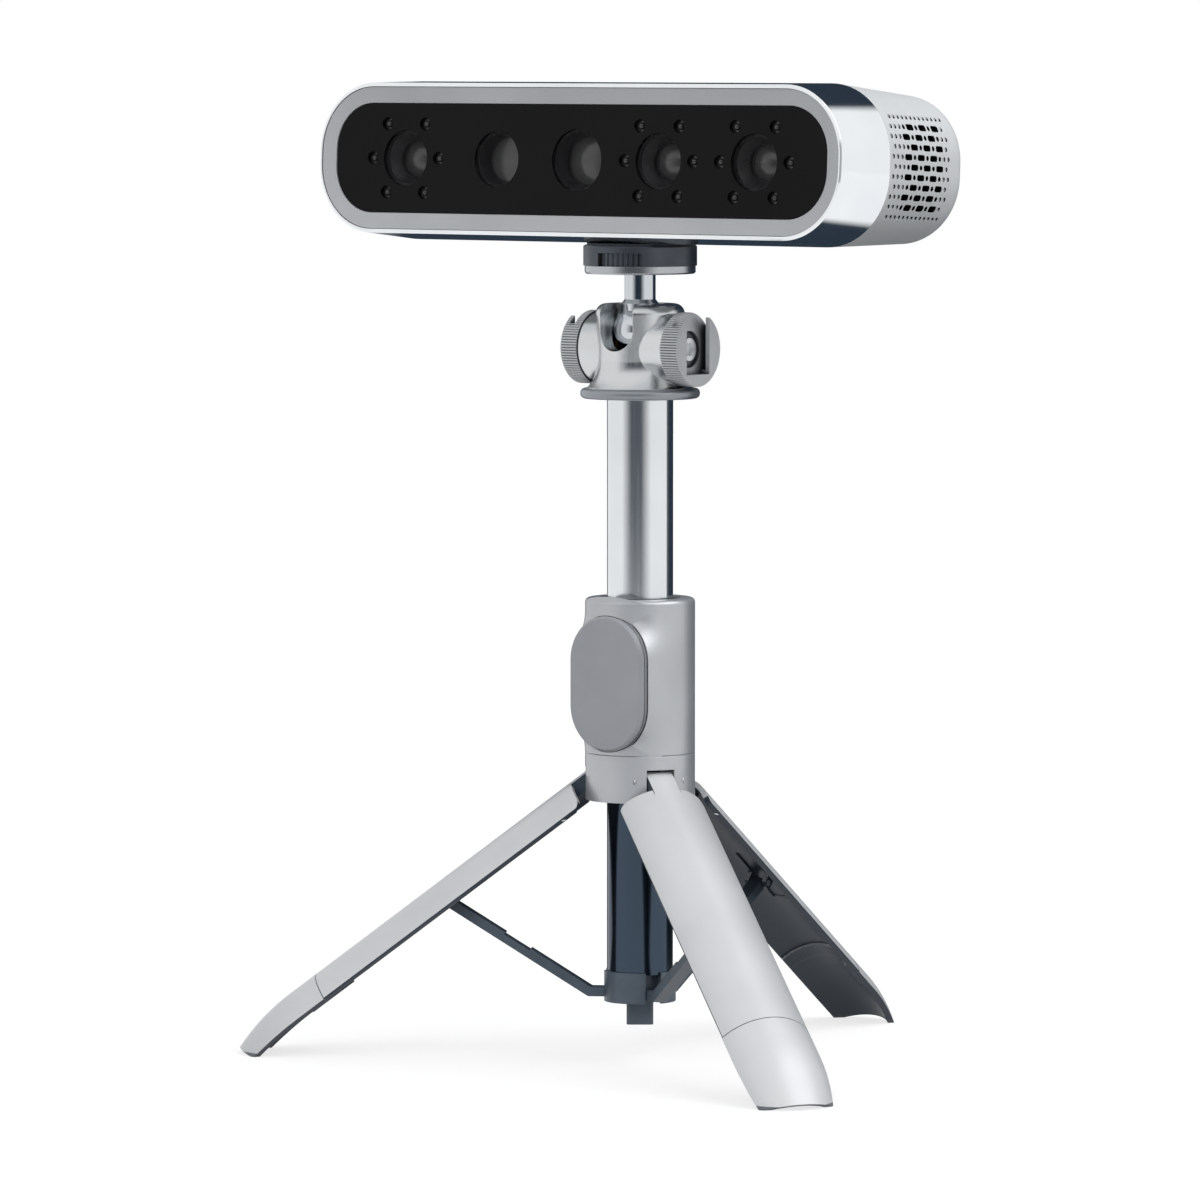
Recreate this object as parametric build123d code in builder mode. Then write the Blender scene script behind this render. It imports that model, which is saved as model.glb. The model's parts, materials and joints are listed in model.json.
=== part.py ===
from build123d import *
import os
from math import atan2, cos, degrees, radians, sin, sqrt

# A face scanner on a folding mini tripod. Millimetres and degrees, +Z up.
# Every piece is drawn about the column's axis. At the end all are set down together
# so that the origin is the middle of the footprint, on the floor.

# Shared clearances
overrun = 2.0          # how far a cut runs past the face it opens
seat_gap = 0.05        # between pieces that are bonded or pressed together
run_gap = 0.05         # radial, between a shaft and its bush
slack = 0.3            # between pieces that move past each other

# Tripod: grip, hub and column
grip_dia = 36.6
grip_wall = 2.0
grip_height = 51.4
grip_edge = 1.6
hub_bottom = 87.2
hub_height = 15.8
hub_groove = 0.4
tube_dia = 22.0
tube_wall = 1.0
tube_rise = 65.8       # tube standing above the grip
mast_dia = 18.4
mast_wall = 0.9
mast_clear = 11.8      # from the column's end to the foot of the mast
slider_height = 9.0
bush_height = 14.0
bush_wall = 2.6
bush_length = 5.5

# Legs, each drawn folded against the column and then swung open
leg_angles = {"right": -30.0, "rear": 90.0, "left": 210.0}
leg_open = 52.7        # swing from folded to standing
leg_arc = 114.0
leg_wall = 1.8
lap_share = 0.5        # of the leg's wall, for the tongue inside the foot cap
leg_edge = 0.25        # flat along the leg's long edges
leg_shoulder = 8.0     # from the hinge down to where the leg is wider than its tab
leg_seam = 116.0       # from the hinge down to the foot cap
hinge_radius = 14.8
hinge_height = 94.4
hinge_pin_dia = 3.0
hinge_pin_length = 18.0
tab_width = 9.3
tab_inner = 2.0        # from the hinge in to the tab's back
tab_length = 14.0
knuckle_dia = 6.0
shoulder_inner_round = 4.8
shoulder_outer_round = 5.4
foot_bow_start = 127.0
foot_bow_end = 160.0
foot_bow = 7.6         # how far the foot bends in by its far end
foot_wall = 2.2
foot_lap = 6.0
sole_height = 1.2
sole_relief = 20.0     # slope of the sole's raised toe
sole_flat = 3.0

# Struts between the legs and the collar at the column's foot
strut_place = 66.0     # from the leg's hinge to the strut's pivot
strut_pivot_radius = 13.4
strut_depth = 3.2
strut_width = 5.0
strut_notch = 0.7
strut_notch_length = 10.0
strut_pin_dia = 2.2
strut_pin_length = 8.6
ear_wall = 1.6
strut_pocket = 0.4     # how far the strut's way is cut into the leg's wall
ear_share = 0.75       # of the room between the strut's pivot and the column
collar_dia = 24.0
collar_bottom = 19.7
collar_height = 10.3
collar_slot_inner = 7.0
collar_pivot_radius = 9.2
collar_pivot_height = 22.6
collar_spigot = 6.0
collar_lap = 0.8       # how far the tube stands in the collar
strut_foot = 7.5       # flat end of the strut inside the collar
plug_width = 8.9
plug_height = 7.7
plug_edge = 0.9
plug_turn = 37.5
plug_stud_dia = 5.0
plug_stud = 4.0

# Remote pad on the grip
remote_width = 30.0
remote_height = 45.0
remote_middle = 126.6
remote_face = 19.2     # from the column's axis out to the pad's face
remote_back = 14.0
remote_wall = 0.6
remote_rim = 1.2
remote_key = 1.8
remote_press = 0.5
remote_edge = 0.8
remote_board_wall = 0.7
remote_cell_dia = 16.0
cradle_front = 16.0
cradle_depth = 8.6
cradle_flare = 14.0

# Ball head
ring_dia = 39.7
ring_height = 3.4
ring_spigot = 4.0
ring_tail = 10.0
ring_round_share = 0.45
ball_dia = 18.0
ball_rise = 22.6       # ball's middle above the column
housing_height = 28.0
housing_foot_dia = 35.4
housing_waist_dia = 28.4
housing_shoulder_dia = 29.6
housing_waist_rise = 9.0
housing_round = 3.4
housing_lip_dia = 16.8
notch_width = 13.4
boss_dia = 23.4
boss_reach = 17.1
knob_rise = 16.6
knob_dia = 24.5
knob_depth = 6.6
knob_flutes = 84
knob_flute = 0.45
shoe_mouth = 12.5
shoe_width = 18.6
shoe_lip = 1.6
shoe_depth = 2.2
shoe_mouth_below = 8.2
shoe_slot_below = 6.8
clamp_dia = 6.0
clamp_pad_reach = 12.0
screw_head_dia = 7.6
screw_recess_dia = 12.2
screw_head = 1.8
screw_recess = 1.6
hex_width = 4.0
hex_depth = 1.2
seat_height = 5.8
seat_cup_dia = 12.8
seat_cup_height = 2.4

# Stem and plate
stem_dia = 10.3
neck_dia = 12.4
neck_top = 10.2        # above the ball's middle
neck_cone = 1.4
stem_length = 18.7
flange_dia = 14.0
flange_height = 1.1
plate_dia = 37.7
plate_foot_dia = 36.8
plate_foot = 2.7
plate_cup = 6.8
plate_wall = 1.05
plate_web = 2.4
plate_edge = 0.5
wheel_window = 49.0
wheel_window_turn = -76.0
wheel_flutes = 60
wheel_flute = 0.6
pad_height = 0.7
pad_inset = 1.2
screw_dia = 6.35
screw_reach = 5.6      # above the plate's pad
insert_dia = 12.0
insert_height = 8.0

# Scanner, drawn about its own middle and leaning back by its pitch
scan_pitch = 2.8
body_width = 217.5
body_height = 53.0
body_round = 24.0
rim_side = 1.15        # from the body's widest in to the rim, at the ends
rim_top = 1.45
rim_round = 22.8
rim_edge = 0.45
back_taper = 2.6
back_round = 8.0
housing_wall = 3.0
front_reach = 36.1     # from the column's axis to the front rim
seam_reach = 10.6      # from the column's axis to the seam behind the bright band
back_reach = 37.4
band_side = 1.0        # width of the rim line at the ends
band_top = 1.3
band_inner_round = 21.6
tongue_length = 2.0
tongue_wall = 1.2
bezel_gap = 0.15
bezel_inset = 0.4
bezel_slope = 0.8
bezel_ledge = 3.0
ledge_width = 2.0
bezel_side = 5.25      # width of the bezel at the ends
bezel_top = 5.45
panel_round = 15.5
panel_thick = 1.6
panel_inset = 0.4
window_shares = {"outer_left": -0.3552, "inner_left": -0.1648, "middle": 0.0,
                 "inner_right": 0.1648, "outer_right": 0.3552}
window_dia = 18.4
middle_window_dia = 20.4
window_thick = 1.3
ring_places = ("outer_left", "inner_right", "outer_right")
emitter_dia = 4.0
emitter_dome_dia = 2.4
emitter_ring = 13.9
emitter_angles = (0.0, 55.0, 125.0, 180.0, 235.0, 305.0)
board_thick = 1.4
board_dia = 31.8
bracket_side = 1.65    # how far the bracket runs past the panel at the ends
bracket_top = 2.0
bracket_round = 17.5
bracket_thick = 1.9
barrel_lip = 1.2
barrel_length = 12.0
barrel_wall = 0.7
barrel_step = 0.8
barrel_stop = 1.7      # step that the lens rests on
lens_dias = {"outer_left": 10.4, "inner_left": 14.6, "middle": 15.6, "inner_right": 10.4, "outer_right": 10.4}
flat_lens = "inner_left"
lens_depth = 4.2
lens_thick = 3.4
lens_crown = 1.5
bracket_screw_dia = 2.5
bracket_screw_head_dia = 4.6
bracket_screw_head = 1.6
bracket_screw_grip = 2.2
bracket_screw_inset = 0.85
main_board_width = 168.0
main_board_height = 36.0
main_board_thick = 1.6
spacer_dia = 5.0
spacer_spread = 154.0
spacer_rise = 28.0
spacer_length = 18.4
sink_width = 62.0
sink_height = 32.0
sink_base = 3.0
sink_fin = 12.0
sink_fins = 9
sink_fin_wall = 1.6
socket_width = 9.0
socket_height = 3.3
socket_depth = 7.4
socket_wall = 0.4
socket_flange = 2.0
socket_tongue = 0.7
socket_tongue_share = 0.7
socket_drop = 9.0
vent_rows = 9
vent_pitch = 3.25
vent_columns = 3
vent_spacing = 7.6
vent_stagger = 1.9     # each way, from row to row
vent_length = 3.8
vent_width = 1.5
vent_middle = -10.0    # middle of the grille, back from the column's axis
vent_cut = 14.0

# Heights worked out from the sizes above
hub_top = hub_bottom + hub_height
grip_top = hub_top + grip_height
tube_top = grip_top + tube_rise
head_base = tube_top + slack
ring_top = head_base + ring_height
ball_height = head_base + ball_rise
knob_height = head_base + knob_rise
housing_top = ring_top + housing_height
plate_base = ball_height + stem_length
cup_base = plate_base + plate_foot
cup_top = cup_base + plate_cup
pad_top = cup_top + pad_height
collar_top = collar_bottom + collar_height
tube_foot = collar_top - collar_lap
scan_lean = radians(scan_pitch)
scan_middle = (pad_top + seat_gap + body_height / 2 * cos(scan_lean)
               - seam_reach * sin(scan_lean))

rim_width = body_width - 2 * rim_side
rim_height = body_height - 2 * rim_top
band_inner_width = rim_width - 2 * band_side
band_inner_height = rim_height - 2 * band_top
panel_width = band_inner_width - 2 * bezel_side
panel_height = band_inner_height - 2 * bezel_top
bracket_width = panel_width + 2 * bracket_side
bracket_height = panel_height + 2 * bracket_top
bracket_screw_reach = panel_width / 2 - bracket_screw_inset
window_places = {place: share * panel_width for place, share in window_shares.items()}

grip_radius = grip_dia / 2
tube_radius = tube_dia / 2
tube_bore = tube_radius - tube_wall
mast_radius = mast_dia / 2
mast_bore = mast_radius - mast_wall
ball_radius = ball_dia / 2
knob_radius = knob_dia / 2
plate_radius = plate_dia / 2
wheel_radius = plate_radius - plate_wall - slack
swing = radians(leg_open)
lap_wall = leg_wall * lap_share
ear_radius = (strut_pivot_radius - tube_radius) * ear_share

# The scanner's own frame: x across, y up its face, z out of its front
scan = Plane(origin=(0, 0, scan_middle), x_dir=(1, 0, 0), z_dir=(0, -cos(scan_lean), sin(scan_lean)))
pieces = {}


def keep(name, solid):
    solid.label = name
    pieces[name] = solid


def radial_plane(turn):
    out = (cos(radians(turn)), sin(radians(turn)), 0)
    return Plane(origin=(0, 0, 0), x_dir=out, z_dir=(out[1], -out[0], 0))


def leg_point(along, out):
    """A point of an open leg, in radius and height, from its place below and outside the hinge."""
    radius = hinge_radius + along * sin(swing) + out * cos(swing)
    height = hinge_height - along * cos(swing) + out * sin(swing)
    return radius, height


# Grip and hub
with BuildPart() as grip_shell:
    with BuildSketch(Plane.XY.offset(hub_top)):
        Circle(grip_radius)
    extrude(amount=grip_height)
    fillet(grip_shell.faces().sort_by(Axis.Z)[-1].edges(), grip_edge)
    with BuildSketch(Plane.XY.offset(hub_top)):
        Circle(grip_radius - grip_wall)
    extrude(amount=grip_height - bush_length, mode=Mode.SUBTRACT)
    with BuildSketch(Plane.XZ.offset(cradle_front)):
        with Locations((0, remote_middle)):
            SlotOverall(remote_height, remote_width, rotation=90)
    extrude(amount=-cradle_depth, taper=-cradle_flare)
    with BuildSketch(Plane.XY.offset(hub_top)):
        Circle(tube_radius + slack)
    extrude(amount=grip_height, mode=Mode.SUBTRACT)
    with BuildSketch(Plane.XY.offset(grip_top - bush_length)):
        Circle(tube_radius + bush_wall)
    extrude(amount=bush_length, mode=Mode.SUBTRACT)
    with BuildSketch(Plane.XZ.offset(remote_back)):
        with Locations((0, remote_middle)):
            SlotOverall(remote_height + 2 * bezel_gap, remote_width + 2 * bezel_gap, rotation=90)
    extrude(amount=grip_radius, mode=Mode.SUBTRACT)
    split(bisect_by=Plane.XY.offset(hub_top), keep=Keep.TOP)
keep("grip_shell", grip_shell.part)

with BuildPart() as hub:
    with BuildSketch(Plane.XY.offset(hub_bottom)):
        Circle(grip_radius)
        Circle(tube_radius + slack, mode=Mode.SUBTRACT)
    extrude(amount=hub_height)
    chamfer(hub.faces().sort_by(Axis.Z)[-1].outer_wire().edges(), hub_groove)
    with BuildSketch(Plane.XY.offset(hub_top - bush_length / 2)):
        Circle(tube_radius + bush_wall / 2)
    extrude(amount=bush_length / 2, mode=Mode.SUBTRACT)
    slot_top = hinge_height + grip_radius - hinge_radius + slack
    for turn in leg_angles.values():
        with BuildSketch(radial_plane(turn)):
            with Locations(((tube_radius + grip_dia) / 2, (hub_bottom - overrun + slot_top) / 2)):
                Rectangle(grip_dia - tube_radius, slot_top - hub_bottom + overrun)
        extrude(amount=tab_width / 2 + slack, both=True, mode=Mode.SUBTRACT)
        with BuildSketch(radial_plane(turn)):
            with Locations((hinge_radius, hinge_height)):
                Circle(hinge_pin_dia / 2 + seat_gap)
        extrude(amount=hinge_pin_length / 2 + seat_gap, both=True, mode=Mode.SUBTRACT)
keep("hub", hub.part)

with BuildPart() as hinge_pins:
    for turn in leg_angles.values():
        with BuildSketch(radial_plane(turn)):
            with Locations((hinge_radius, hinge_height)):
                Circle(hinge_pin_dia / 2)
        extrude(amount=hinge_pin_length / 2, both=True)
keep("hinge_pins", hinge_pins.part)

with BuildPart() as slide_bushes:
    with BuildSketch(Plane.XY.offset(grip_top - bush_length)):
        Circle(tube_radius + bush_wall - seat_gap)
        Circle(tube_radius + run_gap, mode=Mode.SUBTRACT)
    extrude(amount=bush_length - grip_edge / 2)
    with BuildSketch(Plane.XY.offset(hub_top - bush_length / 2)):
        Circle(tube_radius + bush_wall / 2 - seat_gap)
        Circle(tube_radius + run_gap, mode=Mode.SUBTRACT)
    extrude(amount=bush_length / 2)
keep("slide_bushes", slide_bushes.part)

# Remote in the grip's cradle
with BuildPart() as remote_body:
    key_back = remote_face - remote_key
    body_front = key_back - remote_press
    with BuildSketch(Plane.XZ.offset(remote_back)):
        with Locations((0, remote_middle)):
            SlotOverall(remote_height, remote_width, rotation=90)
    extrude(amount=body_front - remote_back)
    remote_board_back = body_front - remote_board_wall
    with BuildSketch(Plane.XZ.offset(remote_board_back)):
        with Locations((0, remote_middle)):
            SlotOverall(remote_height - 2 * remote_rim, remote_width - 2 * remote_rim, rotation=90)
    extrude(amount=overrun, mode=Mode.SUBTRACT)
    with BuildSketch(Plane.XZ.offset(remote_back + remote_wall)):
        with Locations((0, remote_middle)):
            Circle(remote_cell_dia / 2 + seat_gap)
    extrude(amount=overrun, mode=Mode.SUBTRACT)
keep("remote_body", remote_body.part)

with BuildPart() as remote_cell:
    with BuildSketch(Plane.XZ.offset(remote_back + remote_wall)):
        with Locations((0, remote_middle)):
            Circle(remote_cell_dia / 2)
    extrude(amount=remote_board_back - remote_back - remote_wall)
keep("remote_cell", remote_cell.part)

with BuildPart() as remote_board:
    with BuildSketch(Plane.XZ.offset(remote_board_back)):
        with Locations((0, remote_middle)):
            SlotOverall(remote_height - 2 * (remote_rim + seat_gap),
                        remote_width - 2 * (remote_rim + seat_gap), rotation=90)
    extrude(amount=remote_board_wall)
keep("remote_board", remote_board.part)

with BuildPart() as remote_pad:
    with BuildSketch(Plane.XZ.offset(key_back)):
        with Locations((0, remote_middle)):
            SlotOverall(remote_height, remote_width, rotation=90)
    extrude(amount=remote_key)
    chamfer(remote_pad.faces().sort_by(Axis.Y)[0].edges(), remote_edge)
keep("remote_key", remote_pad.part)

# Column: the outer tube with the collar and plug at its foot
with BuildPart() as column_tube:
    with BuildSketch(Plane.XY.offset(tube_foot)):
        Circle(tube_radius)
        Circle(tube_bore, mode=Mode.SUBTRACT)
    extrude(amount=tube_top - tube_foot)
keep("column_tube", column_tube.part)

with BuildPart() as column_bush:
    with BuildSketch(Plane.XY.offset(tube_top - bush_height)):
        Circle(tube_bore - seat_gap)
        Circle(mast_radius + run_gap, mode=Mode.SUBTRACT)
    extrude(amount=bush_height)
keep("column_bush", column_bush.part)

with BuildPart() as collar:
    with BuildSketch(Plane.XY.offset(collar_bottom)):
        Circle(collar_dia / 2)
    extrude(amount=collar_height)
    with BuildSketch(Plane.XY.offset(tube_foot)):
        Circle(tube_radius + seat_gap)
    extrude(amount=collar_height, mode=Mode.SUBTRACT)
    for turn in leg_angles.values():
        with BuildSketch(radial_plane(turn)):
            with Locations((collar_slot_inner + collar_dia / 2, collar_bottom + collar_height / 2)):
                Rectangle(collar_dia, collar_height + 2 * overrun)
        extrude(amount=strut_width / 2 + slack, both=True, mode=Mode.SUBTRACT)
        with BuildSketch(radial_plane(turn)):
            with Locations((collar_pivot_radius, collar_pivot_height)):
                Circle(strut_pin_dia / 2 + run_gap)
            with Locations((collar_pivot_radius, collar_pivot_height - collar_height / 2)):
                Rectangle(strut_pin_dia + 2 * run_gap, collar_height)
        extrude(amount=strut_pin_length / 2 + slack, both=True, mode=Mode.SUBTRACT)
    with BuildSketch(Plane.XY.offset(tube_foot)):
        Circle(tube_bore - seat_gap)
    extrude(amount=collar_spigot)
    with BuildSketch(Plane.XY.offset(collar_bottom)):
        Circle(plug_stud_dia / 2 + seat_gap)
    extrude(amount=plug_stud, mode=Mode.SUBTRACT)
keep("collar", collar.part)

with BuildPart() as column_plug:
    with BuildSketch(Plane.XY.offset(collar_bottom - plug_height)):
        Rectangle(plug_width, plug_width, rotation=plug_turn)
    extrude(amount=plug_height)
    chamfer(column_plug.edges().filter_by(Axis.Z), plug_edge)
    with BuildSketch(Plane.XY.offset(collar_bottom)):
        Circle(plug_stud_dia / 2)
    extrude(amount=plug_stud)
keep("column_plug", column_plug.part)

# Mast: the inner tube that carries the ball head
mast_foot = tube_foot + mast_clear
with BuildPart() as mast_tube:
    with BuildSketch(Plane.XY.offset(mast_foot)):
        Circle(mast_radius)
        Circle(mast_bore, mode=Mode.SUBTRACT)
    extrude(amount=head_base - mast_foot)
keep("mast_tube", mast_tube.part)

with BuildPart() as mast_slider:
    with BuildSketch(Plane.XY.offset(mast_foot)):
        Circle(tube_bore - run_gap)
        Circle(mast_radius + seat_gap, mode=Mode.SUBTRACT)
    extrude(amount=slider_height)
keep("mast_slider", mast_slider.part)

# One leg and its foot, drawn folded on the +X side and swung out about the hinge
hinge_line = Axis((hinge_radius, 0, hinge_height), (0, 1, 0))


def below(along):
    return hinge_height - along


with BuildPart() as leg_tab:
    with BuildSketch(Plane.XZ):
        with Locations((hinge_radius, hinge_height)):
            Circle(knuckle_dia / 2)
        tab_depth = grip_radius - hinge_radius + tab_inner
        with Locations((grip_radius - tab_depth / 2, below(tab_length / 2))):
            Rectangle(tab_depth, tab_length)
        with Locations((hinge_radius, hinge_height)):
            Circle(hinge_pin_dia / 2 + run_gap, mode=Mode.SUBTRACT)
    extrude(amount=tab_width / 2, both=True)
    with BuildSketch(Plane.XY.offset(below(tab_length))):
        Circle(grip_radius)
    extrude(amount=tab_length + knuckle_dia, mode=Mode.INTERSECT)

with BuildPart() as leg_shell:
    with BuildSketch(radial_plane(-leg_arc / 2)):
        with Locations((grip_radius - leg_wall / 2, below((leg_shoulder + leg_seam) / 2))):
            Rectangle(leg_wall, leg_seam - leg_shoulder)
        with Locations((grip_radius - leg_wall - lap_wall / 2, below(leg_seam))):
            Rectangle(lap_wall, 2 * foot_lap)
    revolve(axis=Axis.Z, revolution_arc=leg_arc)
    half_chord = grip_radius * sin(radians(leg_arc / 2)) - leg_edge
    with BuildSketch(Plane.YZ) as leg_outline:
        with Locations((0, below((leg_shoulder + shoulder_inner_round + leg_seam + foot_lap) / 2))):
            Rectangle(2 * half_chord, leg_seam + foot_lap - leg_shoulder - shoulder_inner_round)
        with Locations((0, below((leg_shoulder + leg_seam) / 2))):
            Rectangle(tab_width, leg_seam - leg_shoulder)
        step = leg_outline.vertices().group_by(Axis.Y)[-2].sort_by(Axis.X)
        fillet([step[0], step[-1]], shoulder_outer_round)
        step = leg_outline.vertices().group_by(Axis.Y)[-2].sort_by(Axis.X)
        fillet(step[1:3], shoulder_inner_round - seat_gap)
    extrude(amount=grip_dia, mode=Mode.INTERSECT)
    add(leg_tab.part)
    with BuildSketch(Plane.XZ):
        with Locations((strut_pivot_radius, below(strut_place))):
            Circle(ear_radius)
        ear_depth = grip_radius - leg_wall / 2 - strut_pivot_radius
        with Locations((strut_pivot_radius + ear_depth / 2, below(strut_place))):
            Rectangle(ear_depth, 2 * ear_radius)
        with Locations((strut_pivot_radius, below(strut_place))):
            Circle(strut_pin_dia / 2 + run_gap, mode=Mode.SUBTRACT)
    extrude(amount=strut_width / 2 + slack + ear_wall, both=True)
    with BuildSketch(Plane.XZ):
        with Locations((strut_pivot_radius - strut_depth, below(strut_place))):
            Rectangle(2 * (grip_radius - leg_wall + strut_pocket - strut_pivot_radius + strut_depth),
                      2 * tab_length)
    extrude(amount=strut_width / 2 + slack, both=True, mode=Mode.SUBTRACT)
leg = leg_shell.part.rotate(hinge_line, -leg_open)

with BuildPart() as foot_shell:
    with BuildSketch(radial_plane(-leg_arc / 2)):
        with BuildLine():
            outer_top = (grip_radius, below(leg_seam))
            outer_bow = (grip_radius, below(foot_bow_start))
            outer_end = (grip_radius - foot_bow, below(foot_bow_end))
            inner_end = (grip_radius - foot_bow - foot_wall, below(foot_bow_end))
            inner_bow = (grip_radius - foot_wall, below(foot_bow_start))
            inner_top = (grip_radius - foot_wall, below(leg_seam))
            Line(inner_top, outer_top)
            Line(outer_top, outer_bow)
            TangentArc(outer_bow, outer_end, tangent=(0, -1))
            Line(outer_end, inner_end)
            TangentArc(inner_bow, inner_end, tangent=(0, -1))
            Line(inner_bow, inner_top)
        make_face()
    revolve(axis=Axis.Z, revolution_arc=leg_arc)
    with BuildSketch(radial_plane(-leg_arc / 2)):
        with Locations((grip_radius - leg_wall - lap_wall / 2, below(leg_seam))):
            Rectangle(lap_wall + 2 * seat_gap, 2 * (foot_lap + seat_gap))
    revolve(axis=Axis.Z, revolution_arc=leg_arc, mode=Mode.SUBTRACT)

with BuildPart() as foot_trimmed:
    add(foot_shell.part.rotate(hinge_line, -leg_open))
    split(bisect_by=Plane.XY, keep=Keep.TOP)
    foot_floor = foot_trimmed.faces().sort_by(Axis.Z)[0].bounding_box()
    relief_start = (foot_floor.min.X + sole_flat, 0, 0)
    rise = radians(sole_relief)
    toe_plane = Plane(origin=relief_start, x_dir=(0, 1, 0), z_dir=(-sin(rise), 0, cos(rise)))
    split(bisect_by=toe_plane, keep=Keep.TOP)

with BuildPart() as foot_cap:
    add(foot_trimmed.part)
    split(bisect_by=Plane.XY.offset(sole_height), keep=Keep.TOP)

with BuildPart() as foot_sole:
    add(foot_trimmed.part)
    split(bisect_by=Plane.XY.offset(sole_height), keep=Keep.BOTTOM)

# One strut, drawn standing on the +X side
strut_top = Vector(*leg_point(strut_place, strut_pivot_radius - hinge_radius))
strut_end = Vector(collar_pivot_radius, collar_pivot_height)
strut_bend = Vector(collar_pivot_radius + strut_foot, collar_pivot_height)
bar = strut_top - strut_bend
bar_slope = degrees(atan2(bar.Y, bar.X))
bar_middle = (strut_top + strut_bend) / 2
with BuildPart() as strut_bar:
    with BuildSketch(Plane.XZ):
        with Locations((bar_middle.X, bar_middle.Y)):
            SlotCenterToCenter(bar.length, strut_depth, rotation=bar_slope)
        with Locations(((strut_end.X + strut_bend.X) / 2, strut_end.Y)):
            SlotCenterToCenter(strut_foot, strut_depth)
    extrude(amount=strut_width / 2, both=True)
    side = Vector(-bar.Y, bar.X) / bar.length
    notch_middle = bar_middle + side * (strut_depth / 2)
    with BuildSketch(Plane.XZ):
        with Locations((notch_middle.X, notch_middle.Y)):
            Rectangle(strut_notch_length, 2 * strut_notch, rotation=bar_slope)
    extrude(amount=strut_width, both=True, mode=Mode.SUBTRACT)
    with BuildSketch(Plane.XZ):
        with Locations((strut_top.X, strut_top.Y), (strut_end.X, strut_end.Y)):
            Circle(strut_pin_dia / 2 + seat_gap)
    extrude(amount=strut_width, both=True, mode=Mode.SUBTRACT)

with BuildPart() as strut_rivets:
    with BuildSketch(Plane.XZ):
        with Locations((strut_top.X, strut_top.Y), (strut_end.X, strut_end.Y)):
            Circle(strut_pin_dia / 2)
    extrude(amount=strut_pin_length / 2, both=True)

for side_name, turn in leg_angles.items():
    swung = {"leg": leg, "foot_cap": foot_cap.part, "foot_sole": foot_sole.part,
             "strut": strut_bar.part, "strut_pins": strut_rivets.part}
    for piece_name, solid in swung.items():
        keep(side_name + "_" + piece_name, solid.rotate(Axis.Z, turn))

# Ball head
with BuildPart() as base_ring:
    with BuildSketch(Plane.XY.offset(head_base)):
        Circle(ring_dia / 2)
    extrude(amount=ring_height)
    fillet(base_ring.edges(), ring_height * ring_round_share)
    with BuildSketch(Plane.XY.offset(ring_top)):
        Circle(ball_radius + slack - seat_gap)
    extrude(amount=ring_spigot)
    with BuildSketch(Plane.XY.offset(head_base)):
        Circle(mast_bore - seat_gap)
    extrude(amount=-ring_tail)
keep("base_ring", base_ring.part)

cavity_radius = ball_radius + run_gap
lip_radius = housing_lip_dia / 2
lip_height = ball_height + sqrt(cavity_radius**2 - lip_radius**2)
with BuildPart() as ball_housing:
    with BuildSketch(Plane.XZ):
        with BuildLine():
            foot = (housing_foot_dia / 2, ring_top)
            waist = (housing_waist_dia / 2, ring_top + housing_waist_rise)
            shoulder = (housing_shoulder_dia / 2, housing_top - housing_round)
            crown = (housing_shoulder_dia / 2 - housing_round, housing_top)
            Line((0, ring_top), foot)
            TangentArc(waist, foot, tangent=(0, -1))
            Line(waist, shoulder)
            TangentArc(crown, shoulder, tangent=(1, 0))
            Line(crown, (0, housing_top))
            Line((0, housing_top), (0, ring_top))
        make_face()
    revolve(axis=Axis.Z)
    with BuildSketch(Plane.YZ):
        with Locations((0, knob_height)):
            Circle(boss_dia / 2)
    extrude(amount=boss_reach, both=True)
    with BuildSketch(Plane.XZ):
        with BuildLine():
            Line((0, ring_top), (ball_radius + slack, ring_top))
            Line((ball_radius + slack, ring_top), (ball_radius + slack, ball_height))
            Line((ball_radius + slack, ball_height), (cavity_radius, ball_height))
            RadiusArc((cavity_radius, ball_height), (lip_radius, lip_height), -cavity_radius)
            Line((lip_radius, lip_height), (lip_radius, housing_top))
            Line((lip_radius, housing_top), (0, housing_top))
            Line((0, housing_top), (0, ring_top))
        make_face()
    revolve(axis=Axis.Z, mode=Mode.SUBTRACT)
    with BuildSketch(Plane.XZ):
        with Locations((0, ball_height)):
            Circle(notch_width / 2)
        with Locations((0, ball_height + housing_height / 2)):
            Rectangle(notch_width, housing_height)
    extrude(amount=housing_foot_dia, mode=Mode.SUBTRACT)
    with BuildSketch(Plane.YZ):
        with Locations((0, knob_height)):
            Circle(clamp_dia / 2 + run_gap)
    extrude(amount=boss_reach, both=True, mode=Mode.SUBTRACT)
keep("ball_housing", ball_housing.part)

with BuildPart() as ball_seat:
    with BuildSketch(Plane.XY.offset(ring_top + ring_spigot)):
        Circle(ball_radius + slack - seat_gap)
    extrude(amount=seat_height)
    with BuildSketch(Plane.XY.offset(ring_top + ring_spigot + seat_height)):
        Circle(seat_cup_dia / 2)
    extrude(amount=seat_cup_height)
    with Locations((0, 0, ball_height)):
        Sphere(cavity_radius, mode=Mode.SUBTRACT)
keep("ball_seat", ball_seat.part)

with BuildPart() as clamp_pads:
    with BuildSketch(Plane.YZ):
        with Locations((0, knob_height)):
            Circle(clamp_dia / 2)
    extrude(amount=clamp_pad_reach, both=True)
    with Locations((0, 0, ball_height)):
        Sphere(cavity_radius, mode=Mode.SUBTRACT)
    with BuildSketch(Plane.YZ):
        with Locations((0, knob_height)):
            Rectangle(ball_dia, ball_dia)
    extrude(amount=seat_cup_dia / 2 + slack, both=True, mode=Mode.SUBTRACT)
keep("clamp_pads", clamp_pads.part)

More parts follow.
